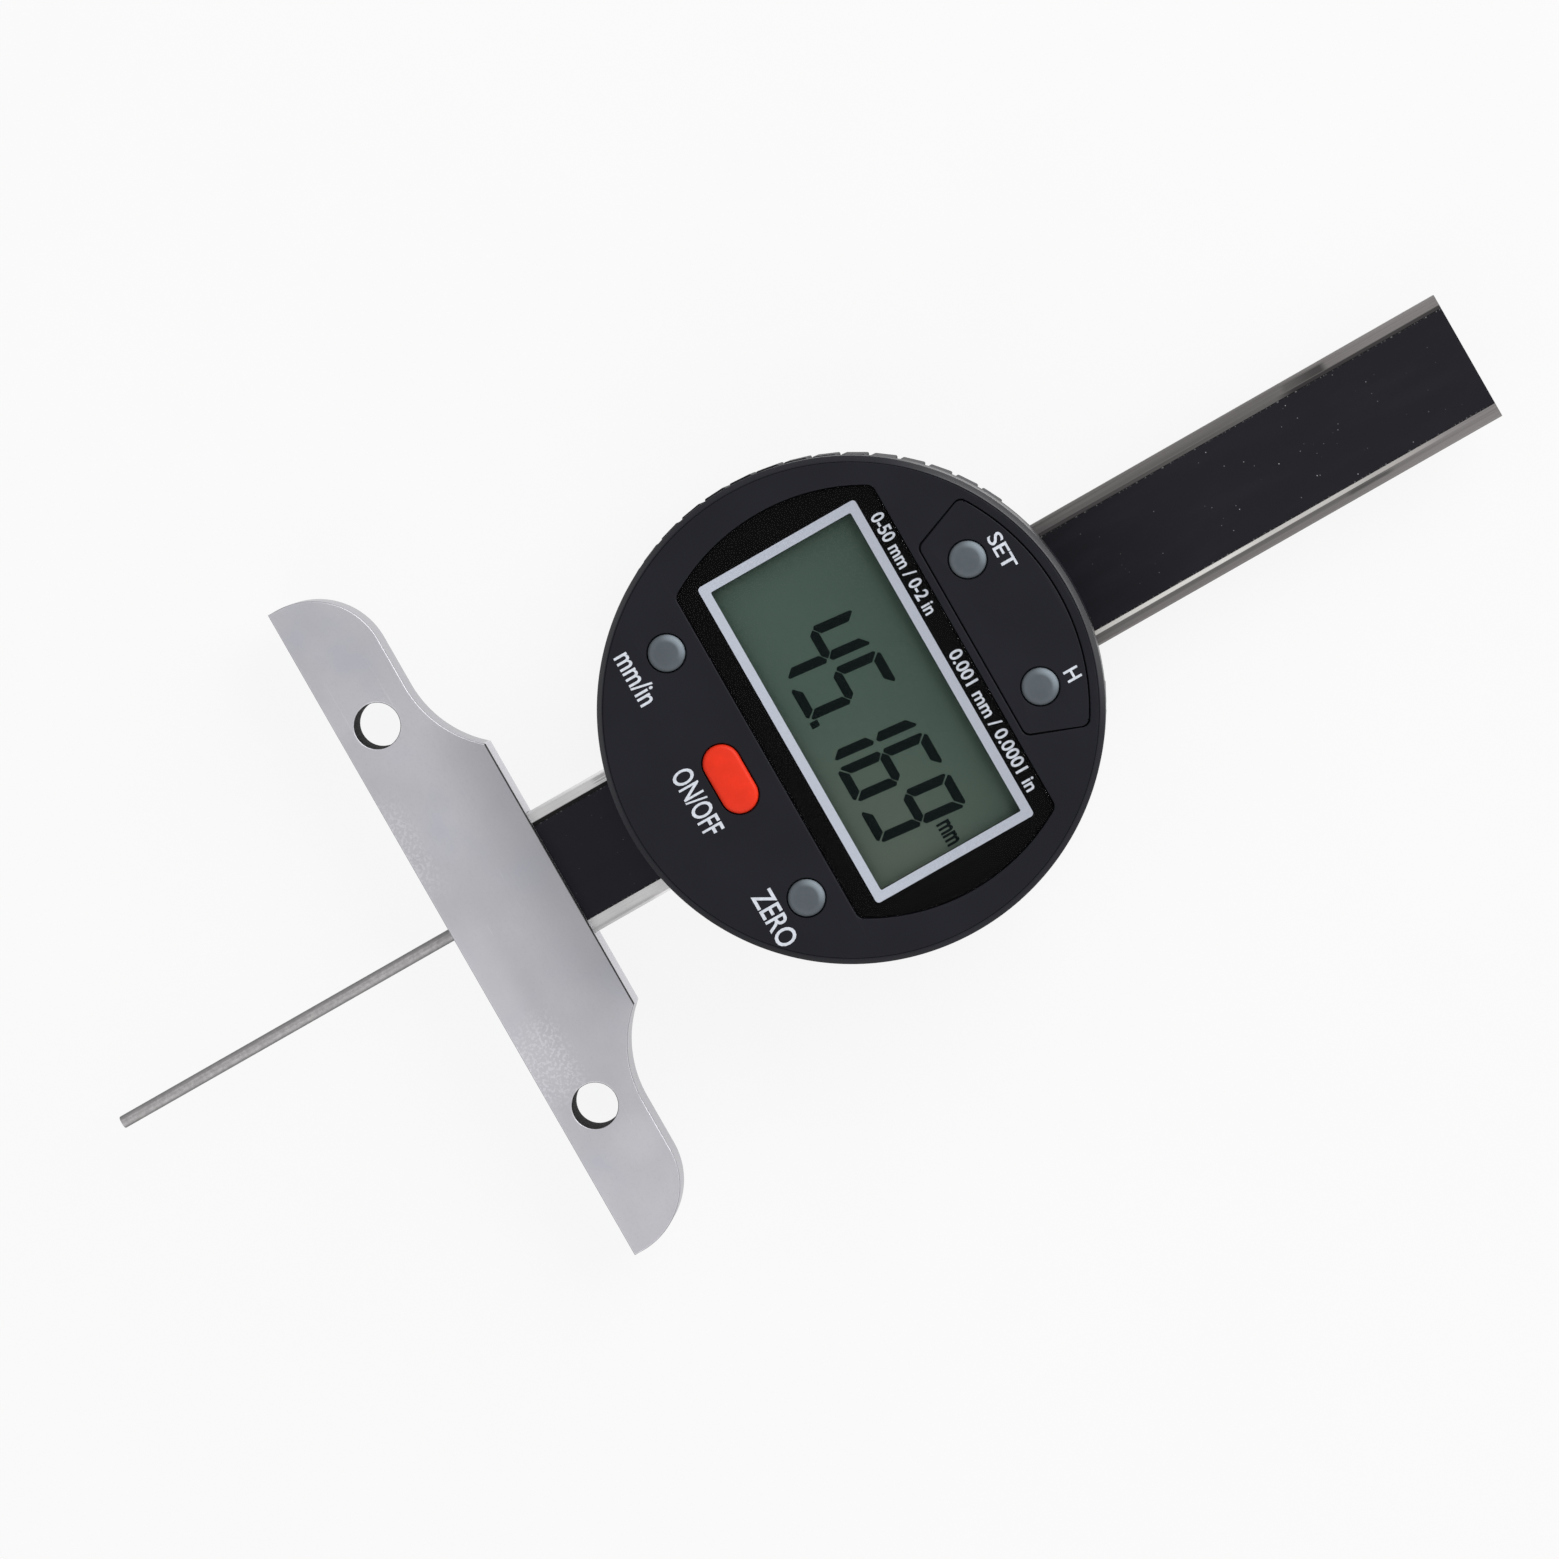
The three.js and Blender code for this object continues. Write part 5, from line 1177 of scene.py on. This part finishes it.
class MakeSlider(bpy.types.Operator):
    """Finishes and screws of the slider round the beam"""
    bl_idname = "gauge.make_slider"
    bl_label = "Slider"

    def execute(self, context):
        choice = context.scene.gauge_finishes
        steel = slider_steel("Slider steel", choice.slider)
        brass = plain_metal("Brass", choice.brass)
        screw = plain_metal("Slider screw steel", choice.slider_screw)
        looks = {
            "slider_frame": steel, "rear_plate": steel, "gib_strip": brass, "rod_anchor": brass,
            "gib_screw_1": screw, "gib_screw_2": screw,
        }
        for node, finish in looks.items():
            dressed(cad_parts[node], finish)
        plate_screws = numbered("rear_plate_screw", 4)
        screws("rear_plate_screws", plate_screws, PLATE_SCREW_DIAMETER, screw, "head", 8)
        screws("anchor_screw", ["rod_anchor_screw_1"], PLATE_SCREW_DIAMETER, screw, "head", 2)
        return {"FINISHED"}


class MakeCase(bpy.types.Operator):
    """Case ring with its finger grips, rear cover, battery cap and the case's screws"""
    bl_idname = "gauge.make_case"
    bl_label = "Housing"

    def execute(self, context):
        choice = context.scene.gauge_finishes
        plastic = moulded("Housing plastic", choice.case, 0.44, 0.2)
        self.ring(plastic)
        self.grips(plastic, context.scene.gauge_sizes)
        self.cover(plastic)
        self.cap(plastic)
        steel = plain_metal("Cover screw steel", choice.case_screw)
        screws("case_screws", CASE_SCREWS, CASE_SCREW_DIAMETER, steel, "head", 11)
        screws("slider_fixing_screws", FIXING_SCREWS, CASE_SCREW_DIAMETER, steel, "head", 4)
        return {"FINISHED"}

    def ring(self, plastic):
        """The wall of the case, open where the beam passes through."""
        inner, back_round, seam_round, slot_gap, reach = 27.3, 0.7, 0.2, 0.4, 30
        edge = [(CASE_RADIUS - a, CASE_LOW.z + b) for a, b in reversed(round_edge(back_round, 6))]
        rim = [(CASE_RADIUS - a, CASE_HIGH.z - b) for a, b in round_edge(seam_round, 3)]
        seat = BOARD_REBATE_RADIUS

        def body(mesh):
            turned(mesh, [(inner, COVER_FRONT), (seat, COVER_FRONT), (seat, CASE_LOW.z), *edge, *rim,
                          (inner, CASE_HIGH.z)], 0, HEAD_Y, 240, closed=True)

        def slots(mesh):
            block(mesh, (BEAM_LOW.x - slot_gap, HEAD_Y - reach, BEAM_LOW.z - slot_gap),
                  (BEAM_HIGH.x + slot_gap, HEAD_Y + reach, BEAM_HIGH.z + slot_gap))

        made("case_wall", body, plastic, "head", "housing", "case_ring", cuts=(slots,))

    def grips(self, plastic, size):
        """Finger grips at both sides, which run lower towards the beam's free end."""
        width, pitch, fillet, sink = math.radians(5.4), math.radians(6.6), 0.22, 0.5
        root, crest = CASE_RADIUS - 0.35, CASE_RADIUS + 0.68
        back, front = CASE_LOW.z + 1.5, CASE_HIGH.z - 0.9
        land = [(root, -root * width / 2, 0), (crest, -crest * width / 2, fillet),
                (crest, crest * width / 2, fillet), (root, root * width / 2, 0)]
        edge = round_edge(size.grip_edge / MM, 2)
        points = []
        for middle in (0, math.pi):
            for i in range(size.grips):
                angle = middle + (i - (size.grips - 1) / 2) * pitch
                inward = sink * max(0.0, math.sin(angle))
                points.append((-inward * math.cos(angle), HEAD_Y - inward * math.sin(angle), 0, angle))

        def body(mesh):
            plate(mesh, rounded(land, 3), back, front, top=edge, bottom=edge)

        piece = repeated("case_grips", points, copies_tree("Grips round the case"),
                         lambda: shaped("grip", body), Finish=plastic)
        placed(smoothed(piece), "head", "housing", "case_ring")

    def cover(self, plastic):
        """The rear cover, and behind it the cell's pocket and the posts of its fixing screws."""
        opening, back_round, screw_depth = 6.3, 0.3, 3
        pocket_inner, pocket_outer = 6.1, 7.0
        post_inner, post_outer, post_end = CASE_SCREW_DIAMETER / 2 + SCREW_GAP, 2.4, -6.62
        cell = centre("battery_cap")

        def body(mesh):
            plate(mesh, circle(0, HEAD_Y, COVER_HIGH.x, 200), COVER_LOW.z, COVER_FRONT,
                  [circle(*cell, opening, 96)], bottom=round_edge(back_round, 4))

        def sinks(mesh):
            for node in CASE_SCREWS + FIXING_SCREWS:
                countersink(mesh, node, CASE_SCREW_DIAMETER, screw_depth)

        def inside(mesh):
            tube(mesh, *cell, pocket_inner, pocket_outer, COVER_FRONT, COVER_HIGH.z, 72)
            for node in FIXING_SCREWS:
                tube(mesh, *centre(node), post_inner, post_outer, COVER_FRONT, post_end, 40)

        made("back_cover", body, plastic, "head", "housing", "rear_cover", cuts=(sinks,))
        made("cover_posts", inside, plastic, "head", "housing", "rear_cover")

    def cap(self, plastic):
        """The battery cap with its coin slot."""
        slot_length, slot_width, slot_depth, slot_edge, soften = 9.3, 1.4, 0.6, 0.05, 0.01
        back_round = 0.22
        low, high = span("battery_cap")
        x, y = centre("battery_cap")

        def body(mesh):
            outline = circle(x, y, (high.x - low.x) / 2, 96)
            plate(mesh, outline, low.z, high.z, bottom=round_edge(back_round, 3))

        def slot(mesh):
            plate(mesh, obround(x, y, slot_length, slot_width), low.z - OVERRUN, low.z + slot_depth,
                  top=chamfer(slot_edge, soften))

        made("coin_slot_cap", body, plastic, "head", "housing", "battery_cap", cuts=(slot,))


def window_outline(grow=0.0):
    """Level top and bottom, ends on arcs about the window's own centre, small fillets."""
    facet_loss, fillet = 0.02, 1.2
    radius = WINDOW_HIGH.x + facet_loss + grow
    half = (WINDOW_HIGH.y - WINDOW_LOW.y) / 2 + grow
    turn = math.degrees(math.asin(half / radius))
    right = arc(0, WINDOW_Y, radius, -turn, turn, 48)
    corners = [(x, y, 0) for x, y in right]
    corners[0] = (*right[0], fillet)
    corners[-1] = (*right[-1], fillet)
    left = [(-x, 2 * WINDOW_Y - y, rounding) for x, y, rounding in corners]
    return rounded(corners + left)


def panel_outline(grow=0.0):
    """Straight inner edge, slanted ends and an outer arc about the head's centre."""
    fillet = 1.0
    radius, outer, inner = 27.4 + grow, 15.03 + grow, 12.38 + grow
    start = math.degrees(math.acos(outer / radius))
    top = arc(0, HEAD_Y, radius, start, 180 - start, 48)
    corners = [(x, y, 0) for x, y in top]
    corners[0] = (*top[0], fillet)
    corners[-1] = (*top[-1], fillet)
    low = PANEL_LOW.y - grow
    return rounded(corners + [(-inner, low, fillet), (inner, low, fillet)])


class MakeBezel(bpy.types.Operator):
    """Bezel with the window's seat and the key panel that is let into it"""
    bl_idname = "gauge.make_bezel"
    bl_label = "Bezel"

    def execute(self, context):
        size = context.scene.gauge_sizes
        front_inset, plate_inset, plate_thickness = 0.7, 2.5, 1.8
        window_gap, panel_gap, gloss_inset = 0.08, 0.15, 0.65
        opening_reach, opening_height, opening_fillet = 19.9, 9.5, 0.3
        finish = context.scene.gauge_finishes.case
        plastic = moulded("Bezel plastic", finish, rim=HEAD_RADIUS - gloss_inset)
        rim = round_edge(size.rim_radius / MM, 3)
        lower = [circle(*centre(node), KEY_RADIUS + KEY_GAP) for node in LOWER_KEYS]
        upper = [circle(*centre(node), KEY_RADIUS + KEY_GAP) for node in UPPER_KEYS]
        length, width = POWER_KEY_LENGTH + 2 * KEY_GAP, POWER_KEY_WIDTH + 2 * KEY_GAP
        lower.append(obround(*centre("power_key"), length, width))
        opening = rectangle(-opening_reach, WINDOW_Y - opening_height,
                            opening_reach, WINDOW_Y + opening_height, opening_fillet)
        front, inner = HEAD_RADIUS - front_inset, HEAD_RADIUS - plate_inset
        seat, back = WINDOW_LOW.z, HEAD_FRONT - plate_thickness

        def body(mesh):
            seats = [window_outline(window_gap), panel_outline(panel_gap)]
            plate(mesh, circle(0, HEAD_Y, front, 240), seat, HEAD_FRONT, [*seats, *lower], top=rim)
            plate(mesh, circle(0, HEAD_Y, inner, 240), back, seat, [opening, *lower, *upper])

        def shell(mesh):
            self.wall(mesh, size.bezel_chamfer / MM, front, inner, back)

        def panel(mesh):
            plate(mesh, panel_outline(), PANEL_LOW.z, PANEL_HIGH.z, upper, top=rim)

        made("bezel_face", body, plastic, "head", "housing", "bezel")
        made("bezel_wall", shell, plastic, "head", "housing", "bezel")
        made("key_panel_plate", panel, plastic, "head", "housing", "key_panel")
        return {"FINISHED"}

    def wall(self, mesh, bevel, front, inner, back):
        """The bezel's wall, with its chamfer in front and the board's rebate behind."""
        soften, seam_round, rebate_top = 0.06, 0.2, 7.6
        seam = HEAD_LOW.z
        slope = [(HEAD_RADIUS - a, HEAD_FRONT - b) for a, b in chamfer(bevel, soften)]
        foot = [(HEAD_RADIUS - a, seam + b) for a, b in reversed(round_edge(seam_round, 3))]
        turned(mesh, [
            (BOARD_REBATE_RADIUS, seam), *foot, *slope, (front, HEAD_FRONT), (front, back), (inner, back),
            (inner, rebate_top), (BOARD_REBATE_RADIUS, rebate_top),
        ], 0, HEAD_Y, 240, closed=True)


class MakeWindow(bpy.types.Operator):
    """Window: clear pane, black print behind it and the silver frame round the display"""
    bl_idname = "gauge.make_window"
    bl_label = "Window"

    def execute(self, context):
        choice = context.scene.gauge_finishes
        band = context.scene.gauge_sizes.frame_band / MM
        reach, below, above, fillet, inner_fillet, lap = 20.9, 8.45, 12.4, 0.45, 0.2, 0.05
        print_depth, pane_depth, band_back, band_front, pane_round = 0.5, 0.45, 0.499, 0.479, 0.14
        low, high = WINDOW_LOW.z, WINDOW_HIGH.z

        def ring(side, end, rounding):
            return rectangle(side - reach, HEAD_Y - below + end, reach - side, HEAD_Y + above - end, rounding)

        # The print shows past the band at both sides and ends under it above and below
        def back(mesh):
            hole = ring(band + lap, band - lap, inner_fillet)
            plate(mesh, window_outline(), low, high - print_depth, [hole])

        def frame_band(mesh):
            hole = ring(band, band, inner_fillet)
            plate(mesh, ring(0, 0, fillet), high - band_back, high - band_front, [hole])

        def pane(mesh):
            plate(mesh, window_outline(), high - pane_depth, high, top=round_edge(pane_round, 3))

        ink, silver = black_print("Window print", choice.window), silver_print("Silver print", choice.silver)
        made("window_print", back, ink, "head", "window", "window")
        made("window_frame", frame_band, silver, "head", "frame_silver")
        made("window_pane", pane, clear_pane("Clear pane"), "head", "window", "window")
        return {"FINISHED"}


class MakeDisplay(bpy.types.Operator):
    """Display glass with its dark segments and the unit"""
    bl_idname = "gauge.make_display"
    bl_label = "Display"

    # The segments that each digit lights, by their usual letters
    lit = {
        "0": "abcdef", "1": "bc", "2": "abged", "3": "abgcd", "4": "fgbc",
        "5": "afgcd", "6": "afgedc", "7": "abc", "8": "abcdefg", "9": "abfgcd",
    }
    # A digit's half height and half width, the step to the next one and the place of the last
    rise, reach, pitch, last_x = 5.02, 1.69, 5.42, 13.38
    # The row's height over the head's centre and over the glass, its thickness and its slant
    centre_rise, lift, thickness, slant = 0.61, 0.012, 0.02, 0.105
    # Each segment's bar, its place and its turn
    bars = {
        "g": ("flat", 0, 0, 0),
        "a": ("long", 0, rise, 0),
        "d": ("long", 0, -rise, 180),
        "b": ("near", reach, rise / 2, -90),
        "c": ("far", reach, -rise / 2, -90),
        "e": ("near", -reach, -rise / 2, 90),
        "f": ("far", -reach, rise / 2, 90),
    }
    # Corners and fillets of the bars, drawn level
    tall = [(-2.36, 0.2, 0.05), (-1.7, -0.57, 0.08), (1.7, -0.57, 0.05), (2.62, 0.36, 0.1),
            (2.42, 0.57, 0.15), (-2.1, 0.57, 0.1)]
    corners = {
        "flat": [(-1.85, 0, 0.05), (-1.3, -0.55, 0.1), (1.3, -0.55, 0.1), (1.85, 0, 0.05),
                 (1.3, 0.55, 0.1), (-1.3, 0.55, 0.1)],
        "long": [(-1.15, -0.57, 0.05), (1.15, -0.57, 0.05), (1.95, 0.32, 0.1), (1.7, 0.57, 0.2),
                 (-1.7, 0.57, 0.2), (-1.95, 0.32, 0.1)],
        "near": [(-x, y, fillet) for x, y, fillet in reversed(tall)],
        "far": tall,
    }

    def execute(self, context):
        choice, words = context.scene.gauge_finishes, context.scene.gauge_words
        dressed(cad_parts["lcd_glass"], display_glass("Display glass", choice.cool, choice.warm))
        ink = black_print("Segment", choice.segment)
        middle, level = HEAD_Y + self.centre_rise, LCD_HIGH.z + self.lift
        digits = [character for character in words.reading if character.isdigit()]
        decimals = sum(character.isdigit() for character in words.reading.partition(".")[2])
        parts = self.digits(digits, ink, middle, level)
        if decimals:
            parts.append(self.point(decimals, ink, middle, level))
        unit_low, unit_high, bold = (16.4, HEAD_Y + 1.85), (19.3, HEAD_Y + 3.5), 0.03
        parts.append(written("display_unit", words.unit, unit_low, unit_high, level, ink, bold,
                             self.thickness))
        for part in parts:
            placed(part, "head", "lcd")
        return {"FINISHED"}

    def digits(self, digits, ink, middle, level):
        """One mesh for each kind of bar."""
        points = {kind: [] for kind in self.corners}
        for i, digit in enumerate(digits):
            x = self.last_x - self.pitch * (len(digits) - 1 - i)
            for letter in self.lit[digit]:
                kind, across, up, turn = self.bars[letter]
                points[kind].append((x + across, middle + up, level, math.radians(turn)))
        tree = copies_tree("Display segments")
        pieces = []
        for kind, places in points.items():
            if places:
                outline = rounded(self.corners[kind], 2)
                pieces.append(repeated(
                    "segments_" + kind, places, tree,
                    lambda: shaped("bar", lambda mesh: plate(mesh, outline, 0, self.thickness)),
                    Finish=ink, Slant=self.slant, Middle=middle * MM))
        return pieces

    def point(self, decimals, ink, middle, level):
        """The decimal point, at the foot of the digit that it follows."""
        after, left, right, low, high, fillet = 2.26, 0.38, 0.42, 5.6, 4.6, 0.12
        x = self.last_x - self.pitch * decimals + after
        outline = rectangle(x - left, middle - low, x + right, middle - high, fillet)
        point = shaped("segments_point", lambda mesh: plate(mesh, outline, level, level + self.thickness))
        return dressed(point, ink)


class MakeKeys(bpy.types.Operator):
    """Four round keys and the long power key"""
    bl_idname = "gauge.make_keys"
    bl_label = "Keys"

    def execute(self, context):
        choice, size = context.scene.gauge_finishes, context.scene.gauge_sizes
        round_keys = LOWER_KEYS + UPPER_KEYS
        plastic = key_plastic("Grey key plastic", choice.key, [centre(node) for node in round_keys])
        edge, crown = size.key_edge / MM, size.key_crown / MM
        for node in round_keys:
            self.round_key(node, plastic, edge, crown)
        self.power_key(key_plastic("Red key plastic", choice.power), edge, crown)
        return {"FINISHED"}

    def round_key(self, node, plastic, edge, crown):
        """A stem, a flange that stops behind the bezel and a domed top."""
        low, high = span(node)
        top, reach, flange = high.z, KEY_RADIUS - edge, KEY_RADIUS + KEY_FLANGE
        stem_top, flange_top = low.z + KEY_STEM_LENGTH, low.z + KEY_FLANGE_TOP
        corner = [(KEY_RADIUS - a, top - crown - b) for a, b in round_edge(edge, 6)]
        dome = [(reach * share, top - crown * share * share) for share in (0.8, 0.6, 0.4, 0.2)]

        def body(mesh):
            turned(mesh, [
                (0, low.z), (KEY_STEM_RADIUS, low.z), (KEY_STEM_RADIUS, stem_top), (flange, stem_top),
                (flange, flange_top), (KEY_RADIUS, flange_top), *corner, *dome, (0, top),
            ], *centre(node), 72)

        name = node.replace("_key", "_round_key")
        made(name, body, plastic, node, "grey_key", node, degrees=40)

    def power_key(self, plastic, edge, crown):
        """The same with a long top and a long flange."""
        dome_width, length, width = 1.5, POWER_KEY_LENGTH, POWER_KEY_WIDTH
        low, high = span("power_key")
        x, y = centre("power_key")
        stem_top, flange_top = low.z + KEY_STEM_LENGTH, low.z + KEY_FLANGE_TOP
        drops = [(edge + dome_width * share, crown * (1 - share) ** 2) for share in (0.2, 0.45, 0.7, 1.0)]
        steps = [(a, b + crown) for a, b in round_edge(edge, 6)]

        def body(mesh):
            plate(mesh, obround(x, y, length, width), stem_top, high.z, top=steps, crown=drops)
            plate(mesh, obround(x, y, length + 2 * KEY_FLANGE, width + 2 * KEY_FLANGE), stem_top, flange_top)
            plate(mesh, circle(x, y, KEY_STEM_RADIUS), low.z, stem_top)

        made("power_long_key", body, plastic, "power_key", "red_key", "power_key", degrees=40)


class MakeLegends(bpy.types.Operator):
    """White legends at the keys and beside the display"""
    bl_idname = "gauge.make_legends"
    bl_label = "Legends"

    def execute(self, context):
        ink = white_print("Legend white", context.scene.gauge_finishes.legend)
        words = context.scene.gauge_words
        bezel_print, bezel_bold = HEAD_FRONT + 0.004, 0.012
        window_print, window_bold = WINDOW_HIGH.z - 0.499, 0.02
        depth = 0.016
        # Name, words, left, low, right, high
        on_bezel = (
            ("legend_unit", "mm/in", -18.7, 33.45, -12.2, 36.0),
            ("legend_power", "ON/OFF", -3.75, 32.4, 4.55, 35.0),
            ("legend_zero", "ZERO", 13.0, 33.5, 19.95, 36.1),
            ("legend_set", "SET", -9.5, 77.6, -5.1, 79.4),
            ("legend_hold", "H", 8.3, 77.6, 9.7, 79.4),
        )
        on_window = (
            ("legend_range", words.range_note, -18.2, 67.15, -5.1, 68.8),
            ("legend_step", words.step_note, -0.1, 67.15, 18.3, 68.8),
        )
        prints = ((on_bezel, bezel_print, bezel_bold), (on_window, window_print, window_bold))
        for rows, level, bold in prints:
            for name, text, left, low, right, high in rows:
                piece = written(name, text, (left, low), (right, high), level, ink, bold, depth)
                placed(piece, "head", "legend_white")
        return {"FINISHED"}


class MakeInsides(bpy.types.Operator):
    """Finishes of the boards, the cell and what holds the display"""
    bl_idname = "gauge.make_insides"
    bl_label = "Insides"

    # Colours of what hardly shows
    strip_dark, strip_pale = (0.02, 0.02, 0.022, 1), (0.5, 0.42, 0.4, 1)
    holder_white, reflector_foil = (0.75, 0.75, 0.72, 1), (0.58, 0.62, 0.58, 1)

    def execute(self, context):
        choice = context.scene.gauge_finishes
        board = circuit_board("Circuit board", choice.board)
        rubber = soft_rubber("Key pad rubber", choice.rubber)
        brass = plain_metal("Contact brass", choice.contact, 0.3)
        strips = striped_rubber("Zebra strip", self.strip_dark, self.strip_pale)
        looks = {
            "reader_board": board,
            "main_board": board,
            "board_connector": moulded("Connector plastic", grey(0.02), 0.5, 0.3),
            "battery": plain_metal("Cell steel", grey(0.62), 0.24),
            "battery_top_contact": brass,
            "battery_side_contact": brass,
            "lcd_holder": backing("Holder white", self.holder_white, 0.5),
            "lcd_reflector": backing("Reflector", self.reflector_foil, 0.3),
            "zebra_strip_1": strips,
            "zebra_strip_2": strips,
            "lower_key_pad": rubber,
            "upper_key_pad": rubber,
        }
        for node, finish in looks.items():
            dressed(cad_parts[node], finish)
        return {"FINISHED"}


class MakeStage(bpy.types.Operator):
    """Pale floor, soft lamps, even sky and the camera"""
    bl_idname = "gauge.make_stage"
    bl_label = "Stage"

    # Places and lengths in metres, the camera's two directions, and its sensor in millimetres
    key_place, fill_place, lamp_size = (-0.25, 0.85, 0.6), (0.6, -0.35, 0.75), 0.9
    camera_place = (-0.0216836, 0.1131837, 1.0461499)
    camera_right, camera_up = (0.49668, 0.86666, -0.04692), (-0.86761, 0.49430, -0.05409)
    sensor, nearest, farthest = 36, 0.05, 20

    def execute(self, context):
        stage = context.scene.gauge_stage
        self.floor(stage)
        self.sky(context, stage)
        self.lamp("Key lamp", self.key_place, stage.key_power)
        self.lamp("Fill lamp", self.fill_place, stage.fill_power)
        self.camera(context, stage)
        context.scene.view_settings.view_transform = "Standard"
        return {"FINISHED"}

    def floor(self, stage):
        """A wide pale disc just under the gauge, which glows where it is seen."""
        radius, middle, bottom, gap, glow_share = 2500, 50, -16, 0.02, 0.91

        def disc(mesh):
            plate(mesh, circle(0, middle, radius, 96), bottom, COVER_LOW.z - gap)

        paint = Finish("Floor paint")
        colour = paint.mix(paint.noise(30, 2), shade(stage.floor, 0.985), stage.floor)
        matt = paint.node("ShaderNodeBsdfDiffuse", {}, {"Color": colour})
        glow = paint.node("ShaderNodeEmission", {}, {"Color": colour, "Strength": 1.0})
        paint.shown(paint.node("ShaderNodeMixShader", {}, {0: paint.seen() * glow_share, 1: matt, 2: glow}))
        floor = dressed(shaped("floor", disc), paint.material)

    def sky(self, context, stage):
        """White where it is seen, dimmer overhead in mirrored rays, and an even light on everything."""
        world = bpy.data.worlds.new("Studio")
        context.scene.world = world
        world.use_nodes = True
        sky = Wiring(world.node_tree)
        sky.tree.nodes.clear()

        def ground(colour, strength):
            return sky.node("ShaderNodeBackground", {}, {"Color": colour, "Strength": strength})

        def blend(factor, first, second):
            return sky.node("ShaderNodeMixShader", {}, {0: factor, 1: first, 2: second})

        glossy = sky.node("ShaderNodeLightPath", output="Is Glossy Ray")
        way = sky.node("ShaderNodeTexCoord", output="Generated")
        height = sky.node("ShaderNodeSeparateXYZ", {}, {0: way}, output="Z")
        overhead = sky.between(height, 0.7, 0.97)
        shown = blend(overhead * glossy, ground(stage.floor, 1.0), ground(stage.floor, 0.5))
        whole = blend(sky.seen(), ground(grey(1), stage.sky), shown)
        sky.node("ShaderNodeOutputWorld", {}, {"Surface": whole})

    def lamp(self, name, place, power):
        """A large soft lamp that faces the head."""
        light = bpy.data.lights.new(name, "AREA")
        light.size = self.lamp_size
        light.energy = power
        lamp = linked(name, light)
        lamp.location = place
        way = Vector((0, HEAD_Y * MM, 0)) - lamp.location
        lamp.rotation_euler = way.to_track_quat("-Z", "Y").to_euler()

    def camera(self, context, stage):
        """The camera of the picture."""
        data = bpy.data.cameras.new("Photo camera")
        data.sensor_width = self.sensor
        data.lens = stage.lens
        data.clip_start = self.nearest
        data.clip_end = self.farthest
        camera = linked("Photo camera", data)
        right = Vector(self.camera_right)
        back = right.cross(Vector(self.camera_up)).normalized()
        up = back.cross(right).normalized()
        turn = Matrix((right.normalized(), up, back)).transposed().to_4x4()
        camera.matrix_world = Matrix.Translation(self.camera_place) @ turn
        context.scene.camera = camera


STEPS = (MakeBase, MakeBeam, MakeRod, MakeSlider, MakeCase, MakeBezel, MakeWindow, MakeDisplay, MakeKeys,
         MakeLegends, MakeInsides, MakeStage)

GROUPS = {
    "gauge_finishes": GaugeFinishes,
    "gauge_sizes": GaugeSizes,
    "gauge_words": GaugeWords,
    "gauge_stage": GaugeStage,
}


class GaugePanel(bpy.types.Panel):
    """Lists the gauge's settings and the steps that make it"""
    bl_idname = "VIEW3D_PT_gauge"
    bl_label = "Depth gauge"
    bl_space_type = "VIEW_3D"
    bl_region_type = "UI"
    bl_category = "Gauge"

    def draw(self, context):
        for step in STEPS:
            self.layout.operator(step.bl_idname)
        for group in GROUPS:
            settings = getattr(context.scene, group)
            box = self.layout.box()
            for name in settings.bl_rna.properties.keys():
                if name not in ("rna_type", "name"):
                    box.prop(settings, name)


def register():
    """Adds the settings, the steps and the panel to Blender."""
    for name, group in GROUPS.items():
        bpy.utils.register_class(group)
        setattr(bpy.types.Scene, name, PointerProperty(type=group))
    for part in (*STEPS, GaugePanel):
        bpy.utils.register_class(part)


def unregister():
    """Takes them away again."""
    for part in (GaugePanel, *reversed(STEPS)):
        bpy.utils.unregister_class(part)
    for name, group in GROUPS.items():
        delattr(bpy.types.Scene, name)
        bpy.utils.unregister_class(group)


def main():
    """Makes the whole gauge."""
    register()
    for step in STEPS:
        group, name = step.bl_idname.split(".")
        getattr(getattr(bpy.ops, group), name)()


if __name__ == "__main__":
    main()
